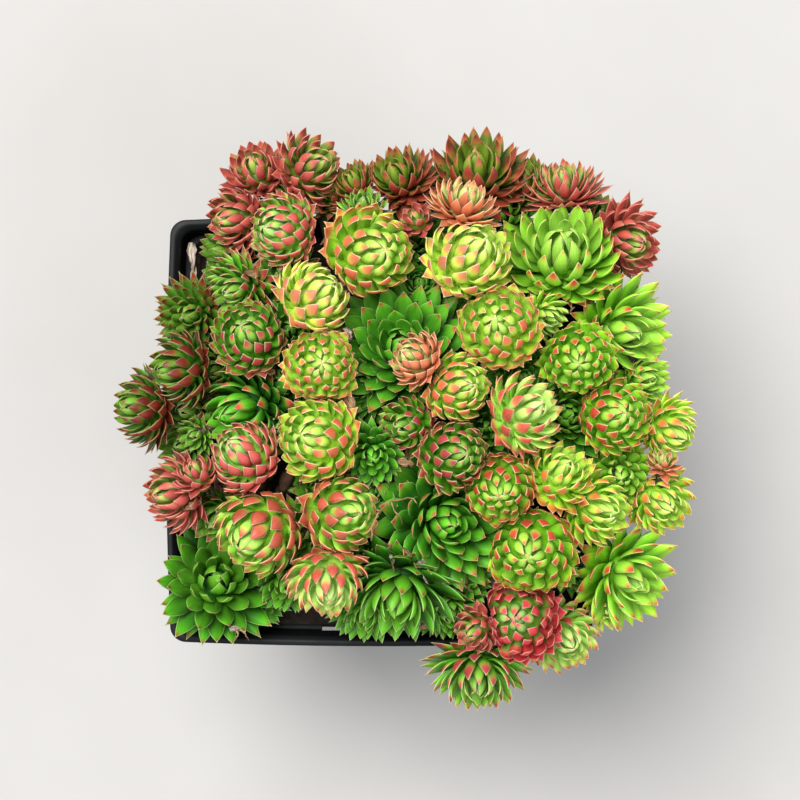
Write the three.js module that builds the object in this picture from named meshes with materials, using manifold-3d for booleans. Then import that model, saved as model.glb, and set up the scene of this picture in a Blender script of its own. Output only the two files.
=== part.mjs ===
// Hens and chicks in a square nursery pot: a tapered plastic pot, its potting mix, and a mound of
// rosettes. Small round offsets (chicks) sit high, larger open rosettes (hens) sit lower between them.
// Millimetres, +Z up. The origin is the centre of the pot's flat foot.

import * as THREE from 'three';
import Module from 'manifold-3d';
import { ConvexGeometry } from 'three/addons/geometries/ConvexGeometry.js';
import { mergeVertices } from 'three/addons/utils/BufferGeometryUtils.js';

const { lerp, degToRad } = THREE.MathUtils;

const wasm = await Module();
wasm.setup();

// ---------------------------------------------------------------- driving dimensions

const POT = {
  rimHalf: 45,        // half the outside width at the rim
  footHalf: 31,       // half the outside width at the foot
  height: 88,
  wall: 1.1,
  ledgeHeight: 79,    // where the wall steps out under the rim
  ledgeDepth: 2.0,    // how far it steps out
  ledgeThick: 1.2,
  corner: 3.4,        // radius of the outer corners at the rim
  bow: 0.9,           // how far the middle of a side bulges
  beadHeight: 1.2,
  floor: 1.6,
  footEdge: 1.5,      // chamfer round the foot
  draft: 0.4,         // how much the band under the rim narrows downwards
};
const SLOT = { length: 4.6, width: 1.3, pitch: 7.0, perSide: 4 };       // openings in the ledge
const DRAIN = { length: 9, width: 3.2, out: 22 };                       // openings in the foot
const CUTTER = 6;                                                       // height of what cuts them
const SOIL = { top: 6, fall: 20, lump: 0.9, edge: 1.5 };                // heights from the rim
const MOUND = { x: 4, y: 1, top: 28, fall: 20, reach: 58 };             // heights from the rim
// Stems aim at the pot's axis, at a depth under the rim that is less for heads further out.
const ROOT_FOCUS = { deep: 27, shallow: 8, reach: 60 };
const STEM_SIDES = 4;
const PLANTED = 6;       // how deep a stem stands in its hole
const HOLE_LEAD = 5;     // how far above the mix the cutter of its hole begins
const GAP = 0.3;         // between pieces that touch
const NEIGHBOUR_GAP = 0.2;
const SQUEEZE = 12;      // how sharply a head is held off its neighbours
const LEAST_ROOM = 0.6;  // nearest that a wall comes to a head's centre
// How near a neighbour, an edge or a stem matters to a head, in radii.
const NEAR = { head: 1.5, edge: 2, stem: 1.25 };
const GOLDEN = degToRad(137.508);
const RIM = POT.height;
const X_AXIS = new THREE.Vector3(1, 0, 0);
const Y_AXIS = new THREE.Vector3(0, 1, 0);
const Z_AXIS = new THREE.Vector3(0, 0, 1);
const CORE_SKIRT = 20;   // degrees of bare core under the lowest leaves

// How the leaves of one kind of head stand. A head has one leaf on each facet of a small many-sided
// core. Lengths are in head radii, angles in degrees from the head's axis.
//   facets   corners of the core, which has about twice as many facets
//   spread   polar angle of the lowest leaf
//   crowd    how much smaller the leaves get towards the axis; 0.5 keeps them alike
//   core     radius of the core
//   reach    of the leaf tips, from the innermost to the outermost leaf
//   curl     how far the tips close over the axis, as a share of their polar angle
//   shoulder radius where a long leaf is widest, and 0 where a leaf is a scale that only tapers
//   rise     how far the middle of the leaves lies above the root
const FORMS = {
  ball: { facets: 28, spread: 112, crowd: 0.60, core: 0.84, reach: [1.00, 1.26], curl: 0.26,
          shoulder: 0, rise: 0, stem: 1.1 },
  bud: { facets: 25, spread: 104, crowd: 0.62, core: 0.72, reach: [1.06, 1.34], curl: 0.22,
         shoulder: 0, rise: 0.16, stem: 1.1 },
  cup: { facets: 17, spread: 98, crowd: 0.64, core: 0.42, reach: [1.02, 1.34], curl: 0.14,
         shoulder: 0.74, rise: 0.28, stem: 1.3 },
  hen: { facets: 20, spread: 96, crowd: 0.66, core: 0.32, reach: [0.74, 1.24], curl: 0.08,
         shoulder: 0.66, rise: 0.28, stem: 1.7 },
  star: { facets: 19, spread: 100, crowd: 0.64, core: 0.30, reach: [0.90, 1.32], curl: 0.03,
          shoulder: 0.62, rise: 0.30, stem: 1.5 },
};
const SMALL_HEAD = 4.7;         // heads under this radius have fewer leaves
const SMALL_HEAD_FACETS = 10;
const CURL_ROOM = 0.6;          // share of its height over the leaf's last ring that a curled tip keeps
const BLADE = { width: 0.94, thick: 0.50 };   // of a long leaf at its shoulder, as shares of its facet

// Main colour of a head's leaves.
const TINT = {
  lime: '#a3bf4c', fresh: '#7fae3f', green: '#5c9837', dark: '#2a6b2c', olive: '#7d8c46',
  brick: '#a4583f', red: '#a9473a', crimson: '#a83c42', salmon: '#c77a5c', orange: '#c08a4e',
};

// Every head: name, x, y, lift off the mound, radius, azimuth and angle that its axis leans to, form,
// tint, and how far aside of the others its stem runs. A head whose name repeats grows on the one
// before it and is one piece with it.
const HEADS = [
  ['chick_01', -15, 54.5, 0, 7.8, 30, 45, 'bud', 'brick'],
  ['chick_02', -26, 54, 0, 7, 110, 40, 'bud', 'brick'],
  ['chick_03', -29.5, 44.5, -3, 7.4, 190, 50, 'bud', 'red'],
  ['chick_04', -19.5, 41.5, 0, 7.6, 175, 40, 'ball', 'olive', -2],
  ['chick_05', -2.5, 36.5, 0, 9.6, 5, 25, 'ball', 'lime'],
  ['chick_06', -14, 26.5, 0, 8.2, 40, 55, 'ball', 'lime'],
  ['chick_07', -26.5, 19, 0, 7.8, 120, 25, 'ball', 'green'],
  ['chick_08', -12, 13.5, 0, 7.5, 45, 5, 'ball', 'lime'],
  ['chick_09', -29.5, 29.5, -4, 7.5, 200, 45, 'cup', 'green'],
  ['chick_09', -34.5, 34, -9, 3.6, 150, 40, 'cup', 'olive'],
  ['chick_10', -39.5, 24.5, -4, 7.6, 200, 20, 'cup', 'olive'],
  ['chick_11', -40.5, 13, 0, 8, 185, 60, 'bud', 'olive'],
  ['chick_12', -48.5, 5, 0, 7.9, 180, 60, 'bud', 'olive'],
  ['hen_01', -28, 4.5, -8, 11.6, 200, 50, 'cup', 'dark'],
  ['hen_01', -38.5, -0.5, -7, 4.2, 210, 35, 'cup', 'green'],
  ['chick_13', -27, -5.5, 1, 7.9, 135, 50, 'ball', 'crimson'],
  ['chick_14', -41.5, -12.5, 0, 7.8, 185, 55, 'bud', 'red'],
  ['chick_15', -37, -9, 5, 4.8, 115, 65, 'bud', 'red', 2],
  ['chick_16', -24, -20, 0, 9.2, 225, 35, 'ball', 'orange'],
  ['chick_17', -9, -16, 0, 8.1, 0, 40, 'ball', 'olive'],
  ['chick_18', -10.5, -29.5, 0, 8.4, 270, 50, 'bud', 'brick'],
  ['hen_02', -35, -31.5, -7, 13.4, 110, 10, 'hen', 'green'],
  ['chick_19', -12, -1.5, 0, 8.9, 165, 30, 'ball', 'lime'],
  ['chick_20', -1.5, -4.5, -4, 6.4, 270, 15, 'cup', 'dark'],
  ['chick_21', 6, 1.5, -4, 6.2, 185, 35, 'bud', 'green'],
  ['hen_03', 4, 17.5, -9, 15, 110, 20, 'hen', 'dark'],
  ['chick_22', 8, 14.5, 4, 5.2, 155, 65, 'bud', 'salmon'],
  ['chick_23', 15, 9, 0, 7.3, 10, 35, 'ball', 'lime'],
  ['chick_24', 24, 21, 0, 8.7, 120, 15, 'ball', 'lime'],
  ['chick_25', 34, 24, -3, 5.6, 330, 50, 'cup', 'lime'],
  ['chick_26', 17.5, 35, 1, 9.4, 45, 40, 'ball', 'lime'],
  ['chick_27', 17, 46.5, 4, 7.8, 75, 55, 'cup', 'salmon', 2],
  ['chick_27', 8, 43.5, 0, 3.4, 130, 45, 'bud', 'brick'],
  ['hen_04', 20, 54, -5, 11.4, 95, 45, 'cup', 'brick'],
  ['chick_28', 3.5, 52.5, -4, 8.6, 115, 45, 'cup', 'olive', -4],
  ['chick_29', -5.5, 51.5, -5, 6.6, 120, 50, 'cup', 'brick'],
  ['chick_30', -3.5, 46.5, -3, 5.6, 90, 45, 'cup', 'green', -4],
  ['chick_31', 38.5, 51, 0, 8.2, 100, 60, 'cup', 'red'],
  ['hen_05', 37.5, 36.5, -2, 14.6, 90, 35, 'hen', 'fresh'],
  ['chick_32', 51, 40, 1, 7.9, 340, 40, 'bud', 'red'],
  ['hen_06', 50.5, 21, -4, 12.8, 345, 40, 'star', 'fresh'],
  ['chick_33', 40.5, 15, 0, 8.2, 260, 10, 'ball', 'fresh'],
  ['chick_34', 47.5, 3.5, 0, 8.0, 10, 20, 'ball', 'lime', -6],
  ['chick_35', 28.5, 3.5, 1, 8.5, 30, 50, 'bud', 'olive'],
  ['chick_36', 59.5, 0.5, 0, 6.9, 330, 55, 'bud', 'fresh', 8],
  ['chick_37', 57.6, -14, 0, 7.5, 320, 35, 'bud', 'fresh', -4],
  ['chick_37', 58.5, -6.5, 4, 3.7, 85, 55, 'cup', 'salmon'],
  ['chick_38', 50, -9, -5, 7.2, 245, 10, 'cup', 'green'],
  ['chick_39', 44, -15.5, -1, 8.1, 345, 40, 'bud', 'lime', -6],
  ['chick_40', 36, -9, 0, 7.6, 55, 40, 'bud', 'lime'],
  ['chick_41', 24, -11, 0, 7.7, 265, 15, 'ball', 'olive'],
  ['chick_42', 14.5, -4.5, 0, 7.5, 5, 25, 'ball', 'green'],
  ['hen_07', 13.5, -18.5, -9, 15.5, 350, 10, 'hen', 'dark'],
  ['hen_08', 3.5, -32.5, -5, 13, 255, 50, 'star', 'fresh'],
  ['chick_43', 31, -24, 0, 9.4, 245, 10, 'ball', 'fresh'],
  ['chick_43', 38, -29.5, -4, 3.6, 300, 30, 'cup', 'green'],
  ['hen_09', 51.5, -30.5, -1, 12.2, 325, 40, 'star', 'lime', -4],
  ['chick_44', 28.5, -38.5, 0, 8.7, 165, 10, 'ball', 'crimson'],
  ['chick_44', 20, -40.5, -2, 4.4, 210, 35, 'bud', 'salmon'],
  ['chick_45', 38, -42.5, -4, 8, 310, 35, 'bud', 'fresh'],
  ['chick_46', 20.5, -50.5, -3, 10.0, 270, 50, 'cup', 'green'],
  ['hen_10', 39, 3.5, -12, 9.5, 25, 10, 'hen', 'dark', -6],
];

// ---------------------------------------------------------------- solids

// A three.js geometry as a closed solid, with its shared vertices joined.
function solid(geometry) {
  const bare = new THREE.BufferGeometry();
  bare.setAttribute('position', geometry.getAttribute('position').clone());
  if (geometry.index) bare.setIndex(geometry.index.clone());
  const merged = mergeVertices(bare, 1e-4);
  return new wasm.Manifold(new wasm.Mesh({
    numProp: 3,
    vertProperties: new Float32Array(merged.getAttribute('position').array),
    triVerts: new Uint32Array(merged.index.array),
  }));
}

// The largest piece of a solid, as a three.js geometry: a scrap that a cut leaves loose is dropped.
function largestPiece(body) {
  const pieces = body.decompose().sort((a, b) => b.volume() - a.volume());
  const { vertProperties, triVerts } = pieces[0].getMesh();
  const geometry = new THREE.BufferGeometry();
  geometry.setAttribute('position', new THREE.BufferAttribute(new Float32Array(vertProperties), 3));
  geometry.setIndex(new THREE.BufferAttribute(new Uint32Array(triVerts), 1));
  return geometry;
}

function node(name, body, colour, roughness) {
  const material = new THREE.MeshStandardMaterial({ color: colour, roughness, metalness: 0, flatShading: true });
  const mesh = new THREE.Mesh(largestPiece(body), material);
  mesh.name = name;
  return mesh;
}

function placedBox(width, depth, height, x, y, z, turn = 0) {
  const box = new THREE.BoxGeometry(width, depth, height);
  return solid(box.translate(x, y, z).rotateZ(turn));
}

// A prism of a given radius from one point to another.
function rod(from, to, radius) {
  const along = new THREE.Vector3().subVectors(to, from);
  const prism = new THREE.CylinderGeometry(radius, radius, along.length(), STEM_SIDES, 1);
  const turn = new THREE.Quaternion().setFromUnitVectors(Y_AXIS, along.clone().normalize());
  const middle = new THREE.Vector3().addVectors(from, to).multiplyScalar(0.5);
  return solid(prism.applyQuaternion(turn).translate(middle.x, middle.y, middle.z));
}

// ---------------------------------------------------------------- square turning

const TURN_STEPS = 32;       // steps round a turned body, eight to a side
const SIDE_STEPS = 8;

// Where a point of a round turning goes on a square with round corners and slightly bowed sides:
// two steps run along half a side, and two round half a corner.
function onSquare(angle, half, corner, bow) {
  const steps = (angle / (2 * Math.PI) + 1) * TURN_STEPS;
  const step = steps % SIDE_STEPS;
  const side = step <= SIDE_STEPS / 2 ? 1 : -1;
  const fromMiddle = side > 0 ? step : SIDE_STEPS - step;
  const straight = half - corner;
  let out = half;
  let across = straight * fromMiddle / 2;
  if (fromMiddle > 2) {
    const turned = degToRad(22.5) * (fromMiddle - 2);
    out = straight + corner * Math.cos(turned);
    across = straight + corner * Math.sin(turned);
  }
  out += bow * Math.max(0, 1 - (across / straight) ** 2);
  const face = Math.floor(steps / SIDE_STEPS) + (side < 0 ? 1 : 0);
  return new THREE.Vector2(out, side * across).rotateAround(new THREE.Vector2(), face * Math.PI / 2);
}

// A LatheGeometry of a profile of (half width, height) points, with its rings made square. Corner and
// bow grow with the half width, so rings near the axis stay small squares of the same look.
function squareTurned(profile, cornerShare, bowShare) {
  const lathe = new THREE.LatheGeometry(profile.map(([half, z]) => new THREE.Vector2(half, z)), TURN_STEPS);
  lathe.rotateX(Math.PI / 2);
  const place = lathe.getAttribute('position');
  for (let i = 0; i < place.count; i++) {
    const half = Math.hypot(place.getX(i), place.getY(i));
    if (half < 1e-6) continue;
    const turn = Math.round(Math.atan2(place.getY(i), place.getX(i)) / (2 * Math.PI) * TURN_STEPS);
    const spot = onSquare(turn / TURN_STEPS * 2 * Math.PI, half, half * cornerShare, half * bowShare);
    place.setXY(i, spot.x, spot.y);
  }
  return lathe;
}

// ---------------------------------------------------------------- pot

const CORNER_SHARE = POT.corner / POT.rimHalf;
const BOW_SHARE = POT.bow / POT.rimHalf;

// Half the outside width of the wall under the ledge, at a height.
function wallHalf(z) {
  return lerp(POT.footHalf, POT.rimHalf - POT.beadHeight - POT.ledgeDepth, z / POT.ledgeHeight);
}

function potSolid() {
  const { footHalf, footEdge, rimHalf, height, wall, floor, ledgeHeight, ledgeThick, beadHeight, draft } = POT;
  const bandHalf = rimHalf - beadHeight;
  const ledgeTop = ledgeHeight + ledgeThick;
  const profile = [
    [0, 0], [footHalf - footEdge, 0], [footHalf, footEdge], [wallHalf(ledgeHeight), ledgeHeight],
    [bandHalf - draft, ledgeHeight], [bandHalf, height - 1.5 * beadHeight],
    [rimHalf, height - beadHeight], [rimHalf, height],
    [bandHalf - wall, height], [bandHalf - wall - draft, ledgeTop],
    [wallHalf(ledgeHeight) - wall, ledgeTop], [footHalf - wall, floor], [0, floor],
  ];
  let pot = solid(squareTurned(profile, CORNER_SHARE, BOW_SHARE));
  const ledgeMiddle = (wallHalf(ledgeHeight) - wall + bandHalf - wall) / 2 + POT.bow;
  for (let side = 0; side < 4; side++) {
    const turn = side * Math.PI / 2;
    for (let k = 0; k < SLOT.perSide; k++) {
      const along = (k - (SLOT.perSide - 1) / 2) * SLOT.pitch;
      const slot = placedBox(SLOT.width, SLOT.length, CUTTER, ledgeMiddle, along, ledgeHeight, turn);
      pot = pot.subtract(slot);
    }
    pot = pot.subtract(placedBox(DRAIN.width, DRAIN.length, CUTTER, DRAIN.out, 0, 0, turn + Math.PI / 4));
  }
  return pot;
}

// ---------------------------------------------------------------- soil

const soilHalf = wallHalf(POT.ledgeHeight) - POT.wall - GAP - 1;
const WAVES = { x: 0.83, y: 0.71, bend: [1.7, 0.41, 1.3, 0.37] };       // of the lumps, in radians per mm

// Height of the potting mix: a dome that falls towards the walls.
function soilTop(x, y) {
  return RIM + SOIL.top - SOIL.fall * (x * x + y * y) / (2 * soilHalf * soilHalf);
}

// Bark lumps on the mix: two crossed waves of unlike length.
function barkLump(x, y) {
  const [bendX, alongY, bendY, alongX] = WAVES.bend;
  const across = Math.sin(x * WAVES.x + bendX * Math.sin(y * alongY));
  return SOIL.lump * across * Math.sin(y * WAVES.y + bendY * Math.sin(x * alongX));
}

function soilSolid(stems) {
  const floor = POT.floor + GAP;
  const wallTop = soilTop(soilHalf, 0) - SOIL.edge;
  const sideHalf = wallHalf(wallTop) - POT.wall - GAP;
  const rings = [0.96, 0.74, 0.5, 0.24, 0];
  const profile = [[0, floor], [POT.footHalf - POT.wall - GAP, floor + GAP], [sideHalf, wallTop]];
  for (const ring of rings) profile.push([ring * sideHalf, wallTop + SOIL.edge]);
  const turned = squareTurned(profile, CORNER_SHARE, BOW_SHARE);
  const place = turned.getAttribute('position');
  for (let i = 0; i < place.count; i++) {
    if (place.getZ(i) < wallTop + SOIL.edge / 2) continue;
    const [x, y] = [place.getX(i), place.getY(i)];
    place.setZ(i, soilTop(x, y) + barkLump(x, y));
  }
  let soil = solid(turned);
  for (const { foot, collar, radius } of stems) {
    soil = soil.subtract(rod(collar, foot, radius + GAP));
  }
  return soil;
}

// ---------------------------------------------------------------- where a head stands

// The mound that the heads make over the pot.
function moundHeight(x, y) {
  const out = Math.hypot(x - MOUND.x, y - MOUND.y) / MOUND.reach;
  return RIM + MOUND.top - MOUND.fall * out * out;
}

function placeHead([name, x, y, lift, radius, azimuth, angle, formName, tint, sway = 0]) {
  const form = FORMS[formName];
  const [turn, tilt] = [degToRad(azimuth), degToRad(angle)];
  const axis = new THREE.Vector3(Math.cos(turn), Math.sin(turn), 0).multiplyScalar(Math.sin(tilt));
  axis.z = Math.cos(tilt);
  const centre = new THREE.Vector3(x, y, moundHeight(x, y) + lift);
  const root = centre.clone().addScaledVector(axis, -form.rise * radius);
  return { name, centre, root, axis, radius, form, tint, sway, walls: [] };
}

// The point where the line from a head to the common root focus enters the mix, and its end below it.
function plantStem(head, carrier) {
  const radius = head.form.stem;
  if (carrier) return { from: head.centre, foot: carrier.centre, collar: null, radius };
  const out = Math.min(1, Math.hypot(head.centre.x, head.centre.y) / ROOT_FOCUS.reach);
  const depth = lerp(ROOT_FOCUS.deep, ROOT_FOCUS.shallow, out * out);
  const sideways = new THREE.Vector3(-head.centre.y, head.centre.x, 0).normalize();
  const aim = new THREE.Vector3(0, 0, RIM - depth).addScaledVector(sideways, head.sway).sub(head.centre);
  const length = aim.length();
  aim.normalize();
  const at = (reach) => head.centre.clone().addScaledVector(aim, reach);
  let [above, below] = [0, length];
  while (below - above > GAP / 100) {
    const middle = (above + below) / 2;
    const spot = at(middle);
    if (spot.z > soilTop(spot.x, spot.y)) above = middle;
    else below = middle;
  }
  return { from: head.centre, foot: at(below + PLANTED), collar: at(below - HOLE_LEAD), radius };
}

// A dividing plane round a head, as the direction to it and its distance from the head's centre.
function addWall(head, towards, gap, share = 1) {
  const away = new THREE.Vector3().subVectors(towards, head.centre);
  const distance = Math.max(away.length() * share - gap, LEAST_ROOM);
  head.walls.push({ normal: away.normalize(), distance });
}

// Walls between neighbours divide the space by their radii; more walls keep a head off the mix and
// off the pot's rim.
function wallIn(heads) {
  for (const head of heads) {
    for (const other of heads) {
      const far = NEAR.head * (head.radius + other.radius);
      if (other === head || head.centre.distanceTo(other.centre) > far) continue;
      addWall(head, other.centre, NEIGHBOUR_GAP, head.radius / (head.radius + other.radius));
    }
    const { x, y, z } = head.centre;
    const reach = POT.rimHalf - POT.beadHeight;
    const edge = (v) => THREE.MathUtils.clamp(v, -reach, reach);
    const onRim = [[reach, edge(y)], [-reach, edge(y)], [edge(x), reach], [edge(x), -reach]];
    for (const [rimX, rimY] of onRim) {
      const spot = new THREE.Vector3(rimX, rimY, RIM);
      if (spot.distanceTo(head.centre) < NEAR.edge * head.radius) addWall(head, spot, POT.beadHeight + GAP);
    }
    const [mixX, mixY] = [edge(x) * soilHalf / reach, edge(y) * soilHalf / reach];
    const mix = new THREE.Vector3(mixX, mixY, soilTop(mixX, mixY) + SOIL.lump);
    const slope = SOIL.fall / (soilHalf * soilHalf);
    const down = new THREE.Vector3(-slope * mixX, -slope * mixY, -1).normalize();
    const depth = mix.sub(head.centre).dot(down);
    if (depth > NEAR.edge * head.radius) continue;
    head.walls.push({ normal: down, distance: Math.max(depth - GAP, LEAST_ROOM) });
  }
}

// Holds a point inside its head's walls. Its distance from the centre is joined with the distance of
// each wall by a smooth minimum, so that nothing changes far from a wall and nothing reaches one.
function squeeze(head, point) {
  const away = new THREE.Vector3().subVectors(point, head.centre);
  const distance = away.length();
  if (distance < 1e-6) return point;
  away.divideScalar(distance);
  let sum = distance ** -SQUEEZE;
  for (const { normal, distance: limit } of head.walls) {
    sum += Math.max(0, away.dot(normal) / limit) ** SQUEEZE;
  }
  return head.centre.clone().addScaledVector(away, sum ** (-1 / SQUEEZE));
}

// ---------------------------------------------------------------- leaves

// Corners of the core as directions, in a golden-angle spiral that closes on the axis, and one below.
function coreCorners(form, count) {
  const corners = [new THREE.Vector3(0, 0, -1)];
  for (let i = 0; i < count - 1; i++) {
    const polar = degToRad(form.spread + CORE_SKIRT) * ((i + 0.3) / (count - 1.7)) ** form.crowd;
    const corner = new THREE.Vector3().setFromSphericalCoords(1, polar, i * GOLDEN);
    corners.push(corner.applyAxisAngle(X_AXIS, Math.PI / 2));
  }
  return corners;
}

// Where a direction from the head's root ends up at a share of the head's radius: the further out, the
// more it closes over the axis. The neighbours' walls then squeeze it.
function placeOnHead(head, direction, share, curl = 0) {
  const { form, radius, root, axis } = head;
  const outness = Math.max(0, (share - form.core) / (1 - form.core));
  const closed = direction.angleTo(Z_AXIS) * (1 - curl * outness);
  const bent = new THREE.Vector3(direction.x, direction.y, 0).normalize().multiplyScalar(Math.sin(closed));
  bent.z = Math.cos(closed);
  bent.applyQuaternion(new THREE.Quaternion().setFromUnitVectors(Z_AXIS, axis));
  return squeeze(head, root.clone().addScaledVector(bent, radius * share));
}

// Draws a facet's corner in towards the facet's middle: a little sideways, and more along the
// meridian, which makes a long leaf a flat blade.
function bladeCorner(corner, middle) {
  const up = Z_AXIS.clone().addScaledVector(middle, -middle.z).normalize();
  const sideways = new THREE.Vector3().crossVectors(up, middle);
  const off = corner.clone().sub(middle);
  return middle.clone()
    .addScaledVector(sideways, off.dot(sideways) * BLADE.width)
    .addScaledVector(up, off.dot(up) * BLADE.thick)
    .normalize();
}

// A leaf's tip. It curls less where that would bring it down near the plane of the leaf's last ring, so
// that no leaf folds back through itself.
function curledTip(head, middle, reach, ring) {
  const plane = new THREE.Plane().setFromCoplanarPoints(...ring);
  const straight = placeOnHead(head, middle, reach);
  const clear = CURL_ROOM * plane.distanceToPoint(straight);
  for (let curl = head.form.curl; curl > 0.01; curl *= 0.7) {
    const tip = placeOnHead(head, middle, reach, curl);
    if (plane.distanceToPoint(tip) > clear) return tip;
  }
  return straight;
}

// One facet of the core with its leaf, as a wedge from the root: a scale is a three-sided peak on the
// facet; a long leaf is a three-sided blade to its shoulder, and then a peak.
function leafSolid(head, corners) {
  const { form, root } = head;
  const heart = squeeze(head, root);
  const middle = new THREE.Vector3().add(corners[0]).add(corners[1]).add(corners[2]).normalize();
  const foot = corners.map((corner) => placeOnHead(head, corner, form.core));
  const spots = [];
  for (let k = 0; k < 3; k++) spots.push(heart, foot[(k + 1) % 3], foot[k]);

  const lowness = middle.angleTo(Z_AXIS) / degToRad(form.spread);
  if (lowness > 1) return solid(new THREE.BufferGeometry().setFromPoints([...spots, ...foot]));

  let ring = foot;
  if (form.shoulder) {
    const blade = corners.map((corner) => bladeCorner(corner, middle));
    ring = blade.map((corner) => placeOnHead(head, corner, form.shoulder, form.curl));
    for (let k = 0; k < 3; k++) {
      const next = (k + 1) % 3;
      spots.push(foot[k], foot[next], ring[next], foot[k], ring[next], ring[k]);
    }
  }
  const tip = curledTip(head, middle, lerp(form.reach[0], form.reach[1], lowness), ring);
  for (let k = 0; k < 3; k++) spots.push(ring[k], ring[(k + 1) % 3], tip);
  return solid(new THREE.BufferGeometry().setFromPoints(spots));
}

// A head: the convex hull of the core's corners, with a leaf on each facet above the skirt.
function headSolid(head) {
  const { form } = head;
  const count = head.radius < SMALL_HEAD ? SMALL_HEAD_FACETS : form.facets;
  const facets = new ConvexGeometry(coreCorners(form, count)).getAttribute('position');
  const leaves = [];
  for (let i = 0; i < facets.count; i += 3) {
    const corners = [i, i + 1, i + 2].map((k) => new THREE.Vector3().fromBufferAttribute(facets, k));
    leaves.push(leafSolid(head, corners));
  }
  return wasm.Manifold.union(leaves);
}

// ---------------------------------------------------------------- assembly

const heads = HEADS.map(placeHead);
wallIn(heads);

const carriers = new Map();
for (const head of heads) {
  head.stem = plantStem(head, carriers.get(head.name));
  if (!carriers.has(head.name)) carriers.set(head.name, head);
}

// A piece is a head, with what grows on it. Where another piece's stem runs through its leaves, they
// are cut clear of that stem.
function rosette(name) {
  const own = heads.filter((head) => head.name === name);
  let body = wasm.Manifold.union(own.map(headSolid));
  for (const other of heads) {
    if (other.name === name) continue;
    const line = new THREE.Line3(other.stem.from, other.stem.foot);
    const near = own.some((head) => {
      const spot = line.closestPointToPoint(head.centre, true, new THREE.Vector3());
      return spot.distanceTo(head.centre) < NEAR.stem * head.radius + other.stem.radius;
    });
    if (near) body = body.subtract(rod(other.stem.from, other.stem.foot, other.stem.radius + GAP));
  }
  for (const head of own) body = body.add(rod(head.stem.from, head.stem.foot, head.stem.radius));
  return node(name, body, TINT[own[0].tint], 0.5);
}

const plant = new THREE.Group();
plant.add(node('pot', potSolid(), '#17191c', 0.45));
const planted = heads.map((head) => head.stem).filter((stem) => stem.collar);
plant.add(node('soil', soilSolid(planted), '#2a1d14', 0.95));
for (const name of carriers.keys()) plant.add(rosette(name));

export default plant;
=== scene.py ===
# %% [markdown]
# # A pot of hens and chicks
#
# This lesson dresses a small square nursery pot in which a mound of houseleeks grows: tight round
# offsets, the chicks, crowd high over larger open rosettes, the hens. The imported model gives the
# frame, and every piece made here stands in the same frame, in metres. We load it first.

# %% The fixed frame
import math

import bpy
import numpy as np
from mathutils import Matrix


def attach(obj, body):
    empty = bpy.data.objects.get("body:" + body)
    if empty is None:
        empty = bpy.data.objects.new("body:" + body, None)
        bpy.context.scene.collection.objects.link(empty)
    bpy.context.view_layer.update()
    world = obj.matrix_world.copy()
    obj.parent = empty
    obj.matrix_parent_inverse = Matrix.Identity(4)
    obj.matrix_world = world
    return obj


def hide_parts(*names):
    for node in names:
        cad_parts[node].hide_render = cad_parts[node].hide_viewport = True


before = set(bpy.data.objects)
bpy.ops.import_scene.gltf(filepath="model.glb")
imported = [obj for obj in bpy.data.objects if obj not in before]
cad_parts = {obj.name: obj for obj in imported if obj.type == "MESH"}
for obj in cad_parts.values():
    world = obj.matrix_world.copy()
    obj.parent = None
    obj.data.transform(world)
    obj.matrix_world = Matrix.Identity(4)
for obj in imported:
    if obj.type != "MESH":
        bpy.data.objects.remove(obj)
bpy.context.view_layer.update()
MM = 0.001

# %% [markdown]
# ## Where we look from
#
# The pot is seen from straight above, about half a metre over its rim. A long lens keeps the outer
# rosettes from leaning away.

# %% Camera
EYE = (4.0 * MM, 6.6 * MM, 608.0 * MM)
LENS, FILM = 110.0, 36.0          # millimetres
camera_data = bpy.data.cameras.new("camera")
camera_data.lens, camera_data.sensor_width, camera_data.clip_start = LENS, FILM, 0.01
camera = bpy.data.objects.new("camera", camera_data)
camera.location = EYE
bpy.context.scene.collection.objects.link(camera)
bpy.context.scene.camera = camera
bpy.context.scene.view_settings.view_transform = "Standard"
field = EYE[2] * FILM / LENS      # width of the view at the floor
print("camera", round(EYE[2] / MM), "mm up, view", round(field / MM), "mm wide at the floor")

# %% [markdown]
# ## Meshes from whole arrays
#
# Every surface is a grid worked out with numpy. One helper turns arrays of points and faces into a
# mesh, with a material number for each face, named values for the shaders, and a map that gives
# each leaf a small field of its own, so that a baked picture has room for it. Another lists the
# faces of a tube that closes to a point at both ends. Leaves, stems and chips are such tubes, and
# so is the pot, whose profile starts and ends on its axis.

# %% Mesh helpers
def make_piece(name, points, faces, materials, numbers=None, values=None, cells=None, smooth=True):
    """Points in millimetres become a mesh in metres. faces has four corners a row, the fourth of a
    triangle being -1; numbers gives each face its material; values are named numbers on the points;
    cells holds a place on the baking map for each corner of each face."""
    size = np.where(faces[:, 3] < 0, 3, 4)
    corners = faces.ravel()[faces.ravel() >= 0]
    mesh = bpy.data.meshes.new(name)
    for elements, key, array in ((mesh.vertices, "co", (points * MM).astype(np.float32)),
                                 (mesh.loops, "vertex_index", corners.astype(np.int32)),
                                 (mesh.polygons, "loop_start", np.cumsum(size) - size)):
        elements.add(len(array))
        elements.foreach_set(key, array.ravel())
    mesh.update(calc_edges=True)
    mesh.validate()
    for material in materials:
        mesh.materials.append(material)
    if numbers is not None:
        mesh.polygons.foreach_set("material_index", numbers.astype(np.int32))
    for title, value in (values or {}).items():
        layer = mesh.attributes.new(title, "FLOAT", "POINT")
        layer.data.foreach_set("value", value.astype(np.float32))
    if cells is not None:
        layer = mesh.uv_layers.new(name="OFBake")
        layer.data.foreach_set("uv", cells[faces >= 0].astype(np.float32).ravel())
    mesh.polygons.foreach_set("use_smooth", np.full(len(faces), smooth))
    piece = bpy.data.objects.new(name, mesh)
    bpy.context.scene.collection.objects.link(piece)
    return piece


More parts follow.
